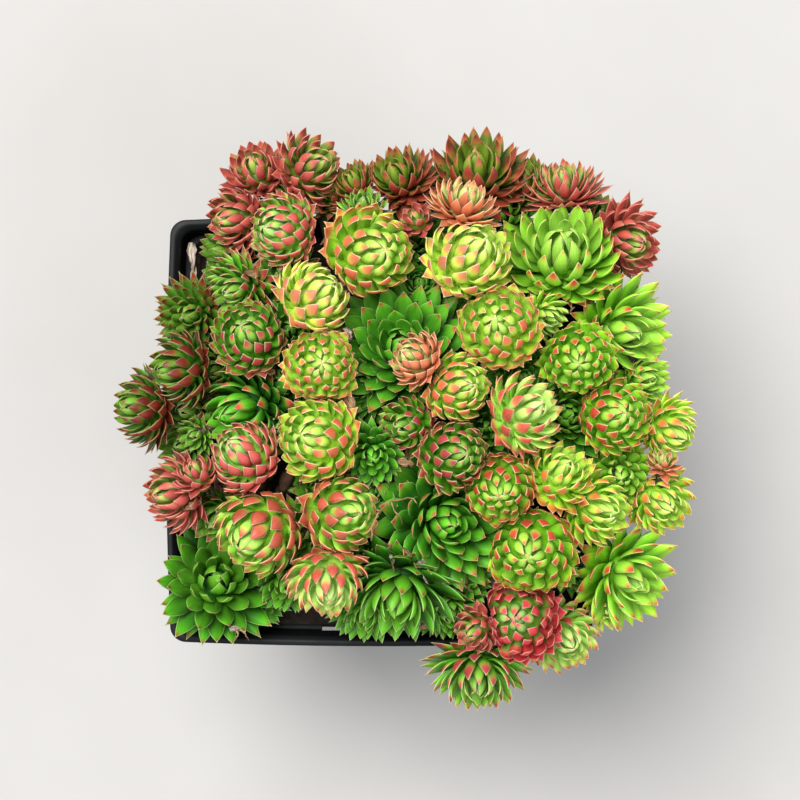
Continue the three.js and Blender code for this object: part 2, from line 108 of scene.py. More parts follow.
def tube_faces(rings, around):
    """Quads between neighbouring rings of points, and a fan to a single point past each end: the
    first point is the start's pole, then come the rings, and the last point is the end's pole."""
    ring = np.arange(rings - 1)[:, None] * around + 1
    here = np.arange(around)[None, :]
    there = (here + 1) % around
    quads = np.stack([ring + here, ring + there, ring + around + there, ring + around + here], -1)
    last = (rings - 1) * around + 1
    pole = np.full(around, rings * around + 1)
    none = np.full(around, -1)
    start = np.stack([np.zeros(around, int), 1 + there[0], 1 + here[0], none], -1)
    end = np.stack([pole, last + here[0], last + there[0], none], -1)
    return np.concatenate([quads.reshape(-1, 4), start, end])


def capped(start, rings, end):
    """A tube's points in their order: the start's pole, the rings in turn and the end's pole."""
    around = rings.reshape(*rings.shape[:-3], -1, 3)
    return np.concatenate([start[..., None, :], around, end[..., None, :]], axis=-2)


print("a tube of two rings of six points has", len(tube_faces(2, 6)), "faces")

# %% [markdown]
# ## What the finishes share
#
# Each finish is a tree of shader nodes, so a small class gives short words for building one. Fine
# unevenness and slow changes of tone turn up on leaves, plastic and soil alike. They are worked out
# once, in a small group that puts out a soft mask and a finer grain, and each finish mixes them in
# its own way.

# %% Node helpers and mottling
class Graph:
    """A tree of shader nodes. A node's inputs are given by name or number, each as a value or as
    another node's output."""

    def __init__(self, tree):
        self.tree = tree

    def wire(self, node, wires):
        """Sets or links a node's inputs. Gives its outputs."""
        for key, value in wires.items():
            if isinstance(value, bpy.types.NodeSocket):
                self.tree.links.new(value, node.inputs[key])
            else:
                node.inputs[key].default_value = value
        return node.outputs

    def put(self, kind, wires, **settings):
        """Adds a node with its settings and wires. Gives its outputs."""
        node = self.tree.nodes.new("ShaderNode" + kind)
        for key, value in settings.items():
            setattr(node, key, value)
        return self.wire(node, wires)

    def number(self, operation, *terms):
        """A sum, product or other operation on up to three numbers."""
        return self.put("Math", dict(enumerate(terms)), operation=operation)[0]

    def blend(self, share, first, second, how="MIX"):
        """A mix of two colours: the Mix node takes them at inputs 6 and 7 and gives output 2."""
        return self.put("Mix", {0: share, 6: first, 7: second}, data_type="RGBA", blend_type=how)[2]

    def step(self, value, low, high):
        """A smooth step that is 0 below low and 1 above high."""
        return self.put("MapRange", {0: value, 1: low, 2: high}, interpolation_type="SMOOTHSTEP")[0]

    def value(self, title):
        """A named value that the mesh carries on its points."""
        return self.put("Attribute", {}, attribute_name=title)["Fac"]

    def noise(self, place, scale, detail, **wires):
        """Cloudy noise between 0 and 1."""
        wires.update(Vector=place, Scale=scale, Detail=detail)
        return self.put("TexNoise", wires)["Fac"]

    def streaks(self, stretch, scale, detail):
        """Noise in a space of the leaf's own: the way across it, the way along it and its tone,
        which sets leaf apart from leaf, each times its stretch."""
        terms = [self.number("MULTIPLY", self.value(title), factor)
                 for title, factor in zip(("across", "along", "tone"), stretch)]
        return self.noise(self.put("CombineXYZ", dict(enumerate(terms)))[0], scale, detail)

    def shade(self, colour, roughness, gloss, height, strength, depth, others=None):
        """Wires the shader, with a height as relief that is a depth in millimetres."""
        relief = self.put("Bump", {"Strength": strength, "Distance": depth * MM, "Height": height})
        self.wire(self.tree.nodes["Principled BSDF"], {
            "Base Color": colour, "Roughness": roughness, "Specular IOR Level": gloss,
            "Normal": relief["Normal"], **(others or {})})


def new_group(title, inputs, outputs):
    """An empty group of nodes. inputs holds starting values, colours or numbers, and outputs kinds.
    Gives the group, the sockets that bring its inputs, and the node where its outputs end."""
    graph = Graph(bpy.data.node_groups.new(title, "ShaderNodeTree"))
    kinds = [(label, "INPUT", "Color" if isinstance(start, tuple) else "Float")
             for label, start in inputs.items()]
    for label, way, kind in kinds + [(label, "OUTPUT", kind) for label, kind in outputs.items()]:
        socket = graph.tree.interface.new_socket(name=label, in_out=way,
                                                 socket_type="NodeSocket" + kind)
        if way == "INPUT":
            socket.default_value = inputs[label]
    nodes = graph.tree.nodes
    return graph, nodes.new("NodeGroupInput").outputs, nodes.new("NodeGroupOutput")


def new_material(title):
    """An empty material and its graph."""
    material = bpy.data.materials.new(title)
    material.use_nodes = True
    return material, Graph(material.node_tree)


FINER = 6.0                       # how many times finer the grain is than the mask
mottle, given, end = new_group("mottle", {"Scale": 400.0, "Contrast": 0.3},
                               {"Mask": "Float", "Fine": "Float"})
where = mottle.put("TexCoord", {})["Object"]
cloud = mottle.noise(where, given["Scale"], 4.0, Roughness=0.6)
low = mottle.number("SUBTRACT", 0.5, given["Contrast"])
high = mottle.number("ADD", 0.5, given["Contrast"])
fine_scale = mottle.number("MULTIPLY", given["Scale"], FINER)
mottle.wire(end, {"Mask": mottle.step(cloud, low, high),
                  "Fine": mottle.noise(where, fine_scale, 2.0)})
print("group", mottle.tree.name, "with", len(mottle.tree.nodes), "nodes")

# %% [markdown]
# ## Leaf skin
#
# A houseleek leaf is fleshy and waxy. Its foot is painted a deeper green, which stands for the
# shade where it slips under the leaves outside it. Its body is lighter with faint streaks, its tip
# flushes orange to crimson in the sun, and a thin pale margin runs round its outer half.
# The mesh says how far along, how far across and how far in from the rim each point lies, how old
# its leaf is, how much it is flushed, and a chance tone for the whole leaf. The group works the
# colour out of these and of the six colours of a tint.

# %% The leaf group
LOOKS = ("along", "across", "rim", "age", "blush", "tone")
LEAF_COLOURS = ("Base", "Leaf", "Young", "Tip", "Deep", "Margin")
# The foot of each leaf is painted a darker green, as the shade where it slips under the leaves
# outside it.
FOOT_SHADE_STEP = (0.46, 0.88)          # where along the leaf its foot's green turns into its body's
YOUNG_POWER = 2.2                 # the higher, the fewer of the innermost leaves look young
FLUSH_END, FLUSH_BOW, FLUSH_WANDER = 0.985, 0.07, 0.06
FLUSH_STEP, DEEP_STEP, BLUSH_STEP = (-0.09, 0.12), (0.02, 0.24), (0.05, 0.25)
STREAK_LIGHT, LEAST_LIGHT, TONE_LIGHT = 0.60, 0.55, 0.34
EDGE_STEP, EDGE_ALONG, EDGE_SHARE = (0.04, 0.24), (0.35, 0.75), 0.62
SPOT_ROUGH, LEAST_ROUGH = 0.14, 0.36

skin, given, end = new_group(
    "leaf skin", {**dict.fromkeys(LEAF_COLOURS, (0.2, 0.4, 0.1, 1.0)), "Reach": 0.2},
    {"Colour": "Color", "Roughness": "Float", "Height": "Float"})
along, across, rim, age, blush, tone = (skin.value(title) for title in LOOKS)
streaks = skin.streaks((3.2, 1.6, 40.0), 2.2, 3.0)
spots = skin.put("Group", {"Scale": 900.0, "Contrast": 0.25}, node_tree=mottle.tree)

# The foot's darker colour is painted shade, where the leaf goes under the leaves outside it.
body = skin.blend(skin.step(along, *FOOT_SHADE_STEP), given["Base"], given["Leaf"])
youth = skin.number("POWER", skin.number("SUBTRACT", 1.0, age), YOUNG_POWER)
body = skin.blend(youth, body, given["Young"])

# The flush starts at the leaf's end less its reach, higher at the edges by the square of the way
# across, and the streaks move its border to and fro.
start = skin.number("SUBTRACT", FLUSH_END, skin.number("MULTIPLY", given["Reach"], blush))
bow = skin.number("MULTIPLY", skin.number("MULTIPLY", across, across), FLUSH_BOW)
start = skin.number("ADD", start, bow)
wander = skin.number("MULTIPLY_ADD", streaks, FLUSH_WANDER,
                     skin.number("SUBTRACT", along, FLUSH_WANDER / 2))
far = skin.number("SUBTRACT", wander, start)
flush = skin.number("MULTIPLY", skin.step(far, *FLUSH_STEP), skin.step(blush, *BLUSH_STEP))
flush_shade = skin.blend(skin.step(far, *DEEP_STEP), given["Tip"], given["Deep"])
body = skin.blend(flush, body, flush_shade)

# Streaks and tone make the whole leaf lighter or darker, and the margin is laid over it last.
light = skin.number("MULTIPLY_ADD", streaks, STREAK_LIGHT, LEAST_LIGHT)
light = skin.number("MULTIPLY_ADD", tone, TONE_LIGHT, light)
light_colour = skin.put("CombineColor", {0: light, 1: light, 2: light})[0]
body = skin.blend(1.0, body, light_colour, "MULTIPLY")
edge = skin.number("SUBTRACT", 1.0, skin.step(rim, *EDGE_STEP))
edge = skin.number("MULTIPLY", edge, skin.step(along, *EDGE_ALONG))
edge = skin.number("MULTIPLY", edge, EDGE_SHARE)
body = skin.blend(edge, body, given["Margin"])
roughness = skin.number("MULTIPLY_ADD", spots["Mask"], SPOT_ROUGH, LEAST_ROUGH)
height = skin.number("MULTIPLY_ADD", streaks, 0.7, skin.number("MULTIPLY", spots["Fine"], 0.3))
skin.wire(end, {"Colour": body, "Roughness": roughness, "Height": height})
print("group", skin.tree.name, "with", len(skin.tree.nodes), "nodes")

# %% [markdown]
# ## Leaf tints
#
# The heads run from deep green through lime and amber to brick and crimson. Each tint is one row of
# a table and becomes one material, in which a little light wanders under the skin, red light the
# furthest.

# %% Leaf tints
def read_rows(table):
    """The rows of a table, with its numbers as numbers and its names as names."""
    return [[word if word[0].isalpha() else float(word) for word in line.split()]
            for line in table.strip().splitlines()]


# Name, then base, leaf, young, tip, deep tip and margin, each as linear red, green and blue, and
# how far down a leaf its flush can reach.
# The olive and russet rows are darkened: painted shade for the heads that lie by the rim at the
# left and at the top.
TINTS = read_rows("""
lime .33 .64 .033  .65 .92 .071  .33 .58 .09  .65 .25 .077  .55 .11 .05  .9 .9 .46  .45
peach .5 .77 .067  .9 .92 .15  .37 .6 .094  .59 .29 .079  .52 .15 .079  .94 .9 .52  .34
amber .37 .72 .033  .74 .92 .071  .38 .66 .1  .64 .34 .048  .53 .16 .038  .86 .9 .42  .4
fresh .18 .51 .011  .41 .81 .026  .3 .57 .068  .551 .106 .04  .418 .048 .026  .78 .86 .36  .31
green .069 .29 .007  .21 .56 .013  .17 .36 .043  .42 .076 .056  .3 .038 .039  .62 .74 .34  .42
leek .006 .08 .003  .058 .32 .007  .13 .39 .02  .21 .023 .014  .14 .012 .009  .43 .63 .22  .17
dark .01 .097 .007  .11 .41 .017  .112 .449 .02  .5 .06 .05  .36 .03 .03  .44 .64 .24  .18
olive .023 .12 .002  .05 .19 .004  .15 .34 .029  .2 .039 .014  .14 .016 .008  .36 .38 .16  .5
brick .41 .73 .094  .91 .92 .23  .43 .73 .19  .65 .2 .092  .48 .084 .05  .74 .58 .35  .38
russet .026 .061 .001  .057 .098 .002  .18 .31 .023  .4 .12 .045  .28 .045 .025  .4 .26 .11  .53
red .091 .17 .011  .18 .26 .022  .28 .44 .068  .56 .19 .11  .41 .072 .055  .7 .4 .3  .74
crimson .22 .52 .048  .52 .89 .12  .27 .52 .11  .62 .16 .1  .48 .081 .065  .75 .65 .46  .43
claret .14 .39 .026  .38 .84 .073  .23 .45 .12  .73 .084 .087  .53 .042 .051  .72 .58 .4  .56
salmon .29 .34 .09  .57 .55 .18  .46 .6 .14  .66 .32 .13  .56 .16 .068  .88 .66 .44  .86
orange .25 .57 .031  .57 .92 .075  .3 .61 .091  .47 .17 .06  .38 .076 .039  .81 .67 .37  .4
""")
GLOSS, RELIEF, RELIEF_DEPTH = 0.32, 0.35, 0.12
FLESH = {"Subsurface Weight": 0.18, "Subsurface Radius": (1.0, 0.75, 0.12),
         "Subsurface Scale": 1.2 * MM}
leaf_materials = {}
for tint, *shades in TINTS:
    leaf_materials[tint], graph = new_material("leaf_" + tint)
    colours = {label: (*shades[3 * k:3 * k + 3], 1.0) for k, label in enumerate(LEAF_COLOURS)}
    look = graph.put("Group", {**colours, "Reach": shades[-1]}, node_tree=skin.tree)
    graph.shade(look["Colour"], look["Roughness"], GLOSS, look["Height"], RELIEF, RELIEF_DEPTH,
                FLESH)
print("leaf tints:", ", ".join(leaf_materials))

# %% [markdown]
# ## Plain finishes
#
# The stems are a dull greenish brown and the dry runners straw. The pot is black plastic with a
# soft sheen, and the potting mix is moist bark and peat with white grains of perlite. Each finish
# is one row of a table: the mottle group's mask mixes its two colours, and the finer grain sets its
# roughness and relief.

# %% Plain finishes
# Name, dark colour, pale colour, least and greatest roughness, scale of the mottling, depth of the
# relief in millimetres, and gloss.
PLAIN = read_rows("""
stem  .03 .03 .01  .09 .06 .03  .55 .8  600 .15 .5
potting_mix  .005 .003 .002  .035 .019 .01  .75 1  700 .5 .5
bark_chip  .03 .015 .008  .19 .1 .05  .7 .95  450 .4 .5
perlite  .55 .54 .5  .85 .84 .8  .8 1  1500 .3 .5
black_plastic  .0018 .0022 .0032  .0042 .005 .0068  .48 .62  60 .04 .22
dry_runner  .16 .085 .04  .44 .28 .14  .7 .95  500 .2 .5
pale_floor  .4 .39 .38  .44 .43 .42  .7 .8  8 .05 .5
""")
GRAIN_RELIEF = 0.6
plain = {}
for title, *numbers in PLAIN:
    plain[title], graph = new_material(title)
    dark, pale, (least, most, scale, depth, gloss) = numbers[:3], numbers[3:6], numbers[6:]
    spots = graph.put("Group", {"Scale": scale}, node_tree=mottle.tree)
    colour = graph.blend(spots["Mask"], (*dark, 1.0), (*pale, 1.0))
    roughness = graph.number("MULTIPLY_ADD", spots["Fine"], most - least, least)
    graph.shade(colour, roughness, gloss, spots["Fine"], GRAIN_RELIEF, depth)
print("plain finishes:", ", ".join(plain))

# %% [markdown]
# ## Papery leaves
#
# A dead leaf is thin and ribbed. Ribs that run along it part its dark hollows from its pale ridges,
# and its end is the darkest. Fresh scraps are brown, and older ones are bleached.

# %% Papery finishes
def dry_material(title, dark, pale, tip):
    """Streaks mix the dark and pale colours and raise the ribs, and the last third is the tip's."""
    material, graph = new_material(title)
    ribs = graph.streaks((4.0, 1.4, 30.0), 2.6, 4.0)
    colour = graph.blend(graph.step(ribs, 0.36, 0.62), (*dark, 1.0), (*pale, 1.0))
    colour = graph.blend(graph.step(graph.value("along"), 0.7, 1.0), colour, (*tip, 1.0))
    graph.shade(colour, 0.85, 0.2, ribs, 0.9, 0.35)
    return material


dead_finish = dry_material("dry_leaf", (0.13, 0.06, 0.025), (0.46, 0.29, 0.15), (0.10, 0.04, 0.02))
husk_finish = dry_material(
    "bleached_leaf", (0.20, 0.14, 0.11), (0.62, 0.54, 0.45), (0.24, 0.15, 0.10))
print("papery finishes:", dead_finish.name, husk_finish.name)

# %% [markdown]
# ## The floor and the light
#
# A plain pale floor and soft daylight: one broad lamp high up on one side models the leaves, a
# weaker one opposite opens the shadows, and a pale sky fills in the rest.

# %% Stage
FLOOR_HALF = 2000.0
AIM = (0.0, 0.0, 0.1)             # in metres: the middle of the mound
corners = np.array([[-1, -1, 0], [1, -1, 0], [1, 1, 0], [-1, 1, 0]], float) * FLOOR_HALF
floor = make_piece("floor", corners, np.array([[0, 1, 2, 3]]), [plain["pale_floor"]])


def area_lamp(title, place, power, width, colour):
    """A square lamp, in metres and watts, turned to the mound: its tilt is the angle between its
    way and the upright, and its turn follows the way's heading."""
    lamp = bpy.data.lights.new(title, "AREA")
    lamp.energy, lamp.size, lamp.color = power, width, colour
    holder = bpy.data.objects.new(title, lamp)
    holder.location = place
    way = np.array(place) - np.array(AIM)
    holder.rotation_euler = (math.acos(way[2] / np.linalg.norm(way)), 0.0,
                             math.atan2(way[1], way[0]) + math.pi / 2)
    bpy.context.scene.collection.objects.link(holder)


area_lamp("key", (-0.35, 0.45, 1.40), 35.0, 0.8, (1.0, 0.985, 0.95))
area_lamp("fill", (0.8, -0.6, 1.0), 7.0, 0.9, (0.96, 0.98, 1.0))
world = bpy.data.worlds.new("sky")
world.use_nodes = True
sky = world.node_tree.nodes["Background"].inputs
sky["Color"].default_value, sky["Strength"].default_value = (0.93, 0.96, 1.0, 1.0), 0.55
bpy.context.scene.world = world
print("lamps:", [light.name for light in bpy.data.lights])

# %% [markdown]
# ## Six forms
#
# A head is a closed ball, a bud whose outer leaves part, an open cup, dome or star, or a broad flat
# hen. The forms differ only in the numbers of one table. In a closed head the tips hug the leaves
# within; in an open one the leaves run straight out.

# %% Forms of the heads
# Key, values for ball, bud, cup, dome, hen and star, and meaning. Two values joined by a comma are
# those of the innermost and outermost leaves. Lengths are in head radii.
FORM_TABLE = """
leaves 76 68 76 96 92 70 number on a head of full size
tips -15,101 -15,100 -14,100 -14,102 -16,95 -17,100 polar angles of the tips, in degrees
crowd .69 .67 .61 .56 .62 .58 how tips crowd to the axis: .5 spaces them evenly, more draws them in
reach .84,1.21 .9,1.3 .82,1.3 .78,1.18 .46,1.24 .66,1.28 distance of the tips from the root
sweep 46,54 40,40 40,20 44,24 46,10 42,10 polar angle from a leaf's tip down to its foot, in degrees
hug 2.4 2.1 1.9 1.9 1.8 1.7 how early a leaf is fully out: 1 runs straight, 3 climbs round a ball
stand .12,.48 .16,.58 .22,.75 .2,.75 .36,.82 .25,.9 share of the way out left for the last stretch
opens .74 .62 .55 .55 .66 .6 age from which the leaves open outwards and lose their sweep
width .085,.22 .09,.202 .105,.168 .105,.14 .09,.172 .12,.175 half width of a leaf
broadest .7 .64 .54 .56 .64 .5 where along its length a leaf is widest
blunt 1.02 1.05 1.25 1.45 1.3 1.35 power of the tip's outline: 1 tapers straight, 3 is round
thick .068 .068 .06 .062 .042 .06 thickness of a leaf
cup .22 .22 .18 .18 .24 .18 how far the edges bend inwards, as a share of the half width
heart .66 .55 .4 .38 .26 .4 radius of the body that stands for the youngest leaves
rise 0 .16 .28 .28 .28 .3 how far the middle of the leaves lies above the root
spread 1.11 1.16 1.24 1.18 1.3 1.26 how far leaves may reach past half way to the next head
stem 1.1 1.1 1.3 1.7 1.7 1.5 radius of the stem, in millimetres
"""
LEAF_FORMS = {form: {} for form in ("ball", "bud", "cup", "dome", "hen", "star")}
for line in FORM_TABLE.strip().splitlines():
    key, *values, _ = line.split(maxsplit=len(LEAF_FORMS) + 1)
    for form, value in zip(LEAF_FORMS.values(), values):
        pair = [float(part) for part in value.split(",")]
        form[key] = pair if len(pair) > 1 else pair[0]
print("forms:", ", ".join(LEAF_FORMS), "with", len(form), "numbers each")

# %% [markdown]
# ## The mound
#
# The heads stand on a low dome over the pot. Each is named for the node it stands for and has a
# place, a lift off the dome, a radius, the way its axis leans, and a form. A second row of the same
# name is a smaller head that grows on the first. The pot has the solid model's sizes, and the heads
# stand where its heads do, a few of them shifted or turned a little. The offshoots, which fill the
# gaps between them, are added here.

# %% Driving sizes, in millimetres, and the heads
POT = dict(rim=45.0, foot=31.0, height=88.0, wall=1.1, floor=1.6, foot_edge=1.5, ledge=79.0,
           ledge_depth=2.0, ledge_thick=1.2, corner=3.4, bow=0.9, bead=1.2, draft=0.4)
SLOT = dict(length=4.6, width=1.3, pitch=7.0, a_side=4)
DRAIN = dict(length=9.0, width=3.2, out=22.0)
SOIL = dict(top=6.0, fall=20.0, lump=0.9, edge=1.5)
MOUND = dict(x=4.0, y=1.0, top=28.0, fall=20.0, reach=58.0)
RIM = POT["height"]
BAND = POT["rim"] - POT["bead"]   # half the width of the band between the ledge and the rim
GAP = 0.3                         # between pieces that touch

# Name, x, y, lift, radius, azimuth and angle of the lean in degrees, form, tint, how much the tips
# are flushed, and how far aside the stem runs.
HEADS = read_rows("""
chick_01 -15 54.5 0 7.8 30 45 bud red 1 0
chick_02 -26 54 0 7 110 40 bud red 1.6 0
chick_03 -29.5 44.5 -3 7.4 190 50 bud red 1.5 0
chick_04 -19.5 41.5 0 7.6 175 40 ball crimson 1.3 -2
chick_05 -2.5 36.5 0 9.6 5 25 ball lime 1 0
chick_06 -14 26.5 0 8.2 40 55 ball peach 1.15 0
chick_07 -26.5 19 0 7.8 120 25 ball green 1.1 0
chick_08 -12 13.5 0 7.5 45 5 ball lime 1.05 0
chick_09 -29.5 29.5 -4 7.5 200 45 cup green 1.1 0
chick_09 -34.5 34 -9 3.6 150 40 cup olive .5 0
chick_10 -39.5 24.5 -4 7.6 200 20 cup olive 1 0
chick_11 -40.5 13 0 8 185 60 bud olive 1.2 0
chick_12 -48.5 5 0 7.9 180 60 bud olive 1.3 0
hen_01 -28 4.5 -8 11.6 200 50 cup dark 1.7 0
hen_01 -38.5 -.5 -7 4.2 210 35 cup green .7 0
chick_13 -27 -5.5 1 7.9 135 50 ball crimson 1.6 0
chick_14 -41.5 -12.5 0 7.8 185 55 bud red 1.5 0
chick_15 -37 -9 5 4.8 115 65 bud red 2.2 2
chick_16 -24 -19.3 0 9.6 225 45 ball orange 1.3 0
chick_17 -8.5 -16 0 8.3 0 40 ball orange 1.3 0
chick_18 -10.5 -29.5 0 8.4 270 50 bud brick 1.5 0
hen_02 -34.5 -31.5 -7 13.4 60 16 star leek 1 0
chick_19 -12 -1.5 0 8.9 165 30 ball lime .9 0
chick_20 -1.5 -4.5 -4 6.4 270 15 cup dark .8 0
chick_21 6 1.5 -4 6.2 185 35 bud green 1.3 0
hen_03 4 17.5 -9 15 110 20 hen dark 1 0
chick_22 7.8 14.6 4 5.5 150 55 ball salmon 1.15 0
chick_23 15 9 0 7.3 10 35 ball lime .97 0
chick_24 24 21 0 8.7 120 15 ball lime 1 0
chick_25 34 24 -3 5.6 330 50 cup lime .4 0
chick_26 17.5 35 1 9.4 45 40 ball peach 1 0
chick_27 17 46.5 4 7.6 72 64 cup salmon 1.4 2
chick_27 7.6 43.2 1 4 130 45 bud red 2 0
hen_04 20 54 -5 11.4 95 45 cup russet 1.4 0
chick_28 3.5 52.5 -4 8.6 115 45 cup russet 1.4 -4
chick_29 -5.5 51.5 -5 6.6 120 50 cup russet 1.5 0
chick_30 -3.5 46.5 -3 5.6 90 45 cup green .9 -4
chick_31 38.5 51 0 8.2 100 60 cup red 1.35 0
hen_05 37.5 36.5 -2 14.6 90 35 dome fresh .8 0
chick_32 51 40 1 7.9 340 40 bud red 1.5 0
hen_06 50.5 21 -4 12.8 345 40 star fresh .8 0
chick_33 40.5 15 0 7.6 260 10 ball fresh 1 0
chick_34 47.5 3.5 0 8 10 20 ball fresh 1.4 -6
chick_35 28.5 3.5 1 8.5 30 50 bud brick 1.3 0
chick_36 59.5 .5 0 6.9 330 55 bud amber 1.1 8
chick_37 57.6 -14 0 7.5 320 35 bud amber 1.2 -4
chick_37 58.5 -6.5 4 3.7 85 55 cup salmon 1.4 0
chick_38 50 -9 -4 7.6 245 10 cup fresh .7 0
chick_39 44 -15.5 -1 8.1 345 40 bud amber 1 -6
chick_40 36 -9 0 7.6 55 40 bud amber 1.2 0
chick_41 24 -11 0 7.7 265 15 ball fresh 1.6 0
chick_42 14.5 -4.5 0 7.5 5 25 ball green 1.15 0
hen_07 13.5 -18.5 -9 15.5 340 22 hen dark 1.1 0
hen_08 3.5 -33.2 -5 13.6 258 50 star leek .9 0
chick_43 30.5 -23.5 0 9.4 245 12 ball fresh 1.3 0
chick_43 38 -29.5 -4 3.6 300 30 cup fresh .5 0
hen_09 51.5 -30.5 -1 12.2 325 40 star fresh 1.05 -4
chick_44 28.5 -38.5 0 8.7 165 10 ball claret 1.35 0
chick_44 20 -40.5 -1 5 210 40 bud red 1.4 0
chick_45 38 -42.5 -4 8 310 35 bud brick 1.2 0
chick_46 20.5 -50.5 -3 10 270 50 cup green 1.1 0
hen_10 39 3.5 -9 11.5 25 10 hen leek .8 -6
""")
OFFSHOOTS = read_rows("""
hen_04 30 52 -8 8.4 95 50 cup russet .9 0
hen_04 25 46 -10 8 110 20 cup leek .9 0
hen_04 12 50 -9 7 110 30 cup olive .9 0
chick_29 -10 50 -7 5.6 110 40 cup russet .9 0
chick_31 45.5 46 -6 6.5 60 50 cup green 1 0
hen_06 55 11 -7 8 0 45 star fresh .8 0
chick_12 -40 4.5 -9 7.4 190 30 cup green 1 0
chick_14 -41.5 -3 -10 6.5 190 30 cup green .8 0
chick_03 -33 38 -8 6 170 40 cup olive .9 0
chick_16 -33.5 -17.5 -6 7.5 225 40 cup green 1.2 0
hen_03 -4 9.5 -11 8 200 20 hen dark .8 0
chick_17 -16.5 -21 -8 6.5 230 15 cup green 1 0
chick_17 -13 -11.5 -9 5.5 80 15 cup green .8 0
chick_18 -20 -31 -9 7 250 30 cup leek .8 0
chick_20 -2 -12 -10 8 240 10 hen dark .9 0
hen_08 15 -31 -11 8 300 10 hen dark .9 0
chick_43 40.5 -27 -8 7.5 330 20 hen leek .9 0
hen_10 30 11 -10 8 80 10 hen dark .8 0
chick_38 47 -1 -11 7.5 60 10 hen dark .8 0
chick_24 22 28 -12 7 90 10 hen dark .8 0
chick_06 -20 33 -9 7 150 20 cup green .9 0
chick_07 -20.5 11 -10 7 160 10 cup leek .9 0
chick_05 7 41 -10 7.5 90 30 cup leek .9 0
chick_19 -20 1 -10 6 180 20 cup green .9 0
chick_45 47 -37 -7 7 320 40 star amber .9 0
hen_08 -3 -37.5 -10 8.5 260 45 star leek .8 0
hen_08 14 -37.5 -9 7.5 280 40 star leek .8 0
hen_08 -4 -24 -9 6 200 20 cup leek .8 0
chick_35 21.5 1 -9 6.5 0 0 cup leek .8 0
hen_03 8 31 -11 7.5 90 20 hen dark .8 0
chick_07 -19 21 -9 6.5 60 10 cup leek .8 0
chick_11 -34 13 -8 7 200 30 cup olive 1 0
hen_02 -27 -36 -13 7 290 20 star leek .6 0
chick_02 -21 49 -5 6.5 130 45 cup red 1.5 0
""")


def mound_height(x, y):
    """The dome: its top less a fall that grows with the square of the way out from its middle."""
    out = np.hypot(x - MOUND["x"], y - MOUND["y"]) / MOUND["reach"]
    return RIM + MOUND["top"] - MOUND["fall"] * out ** 2


def wall_half(z):
    """Half the pot's outside width at a height under the ledge: it widens evenly from the foot."""
    top = BAND - POT["ledge_depth"]
    return POT["foot"] + (top - POT["foot"]) * z / POT["ledge"]


SOIL_HALF = wall_half(POT["ledge"]) - POT["wall"] - GAP - 1.0


def soil_height(x, y):
    """The potting mix is a dome that falls towards the walls by the square of the way out."""
    return RIM + SOIL["top"] - SOIL["fall"] * (x * x + y * y) / (2 * SOIL_HALF ** 2)


heads = []
for seed, row in enumerate(HEADS + OFFSHOOTS):
    name, x, y, lift, radius, azimuth, angle, form, tint, flushed, sway = row
    turn, tilt = math.radians(azimuth), math.radians(angle)
    axis = np.array([math.sin(tilt) * math.cos(turn), math.sin(tilt) * math.sin(turn),
                     math.cos(tilt)])
    centre = np.array([x, y, mound_height(x, y) + lift])
    form = LEAF_FORMS[form]
    heads.append(dict(name=name, seed=seed, centre=centre, axis=axis, radius=radius, form=form,
                      root=centre - form["rise"] * radius * axis, tint=tint, flushed=flushed,
                      sway=sway, walls=[]))
print("heads:", len(heads), "on", len({head["name"] for head in heads}), "rosette nodes")

# %% [markdown]
# ## Room for each head
#
# Heads that grow this close press on each other. Each one is held inside flat walls that stand half
# way to its neighbours, off the rim and off the soil. A point's distance from the head's centre is
# joined with the distance to each wall by a smooth minimum, so leaves far from a wall don't move,
# and leaves that meet one bend and flatten as soft leaves do.

# %% Walls and squeezing
NEIGHBOUR_GAP, LEAST_ROOM = 0.2, 0.6
NEAR_HEAD, NEAR_EDGE = 1.5, 2.0   # how near, in radii, a head or an edge has to be for a wall
SQUEEZE = 12                      # power of the smooth minimum
DRAWN_IN = 1.15                   # power of the share by which a leaf is drawn in


def add_wall(head, towards, gap, share=1.0):
    """A wall across the way to a point, at a share of the distance to it, less a gap."""
    away = towards - head["centre"]
    distance = np.linalg.norm(away)
    head["walls"].append((away / distance, max(distance * share - gap, LEAST_ROOM)))


for head in heads:
    for other in heads[:len(HEADS)]:
        apart = np.linalg.norm(head["centre"] - other["centre"])
        if other is head or apart > NEAR_HEAD * (head["radius"] + other["radius"]):
            continue
        half_way = head["radius"] / (head["radius"] + other["radius"])
        add_wall(head, other["centre"], NEIGHBOUR_GAP, half_way * head["form"]["spread"])
    x, y = np.clip(head["centre"][:2], -BAND, BAND)
    for spot in ((BAND, y), (-BAND, y), (x, BAND), (x, -BAND)):
        spot = np.array([*spot, RIM])
        if np.linalg.norm(spot - head["centre"]) < NEAR_EDGE * head["radius"]:
            add_wall(head, spot, POT["bead"] + GAP)
    under = np.array([x, y]) * SOIL_HALF / BAND
    slope = SOIL["fall"] / SOIL_HALF ** 2
    down = np.array([*(-slope * under), -1.0])
    down /= np.linalg.norm(down)
    depth = (np.array([*under, soil_height(*under) + SOIL["lump"]]) - head["centre"]) @ down
    if depth < NEAR_EDGE * head["radius"]:
        head["walls"].append((down, max(depth - GAP, LEAST_ROOM)))


def squeeze(head, points):
    """One over the distance, and one over each wall's distance along the same direction, are raised
    to a high power and summed; the new distance is that sum's root, turned over again."""
    away = points - head["centre"]
    distance = np.maximum(np.linalg.norm(away, axis=-1), 1e-6)
    direction = away / distance[..., None]
    normals = np.array([normal for normal, _ in head["walls"]])
    limits = np.array([limit for _, limit in head["walls"]])
    towards = np.maximum(direction @ normals.T, 0.0) / limits
    total = (1.0 / distance) ** SQUEEZE + (towards ** SQUEEZE).sum(-1)
    return head["centre"] + direction * (total ** (-1.0 / SQUEEZE))[..., None]


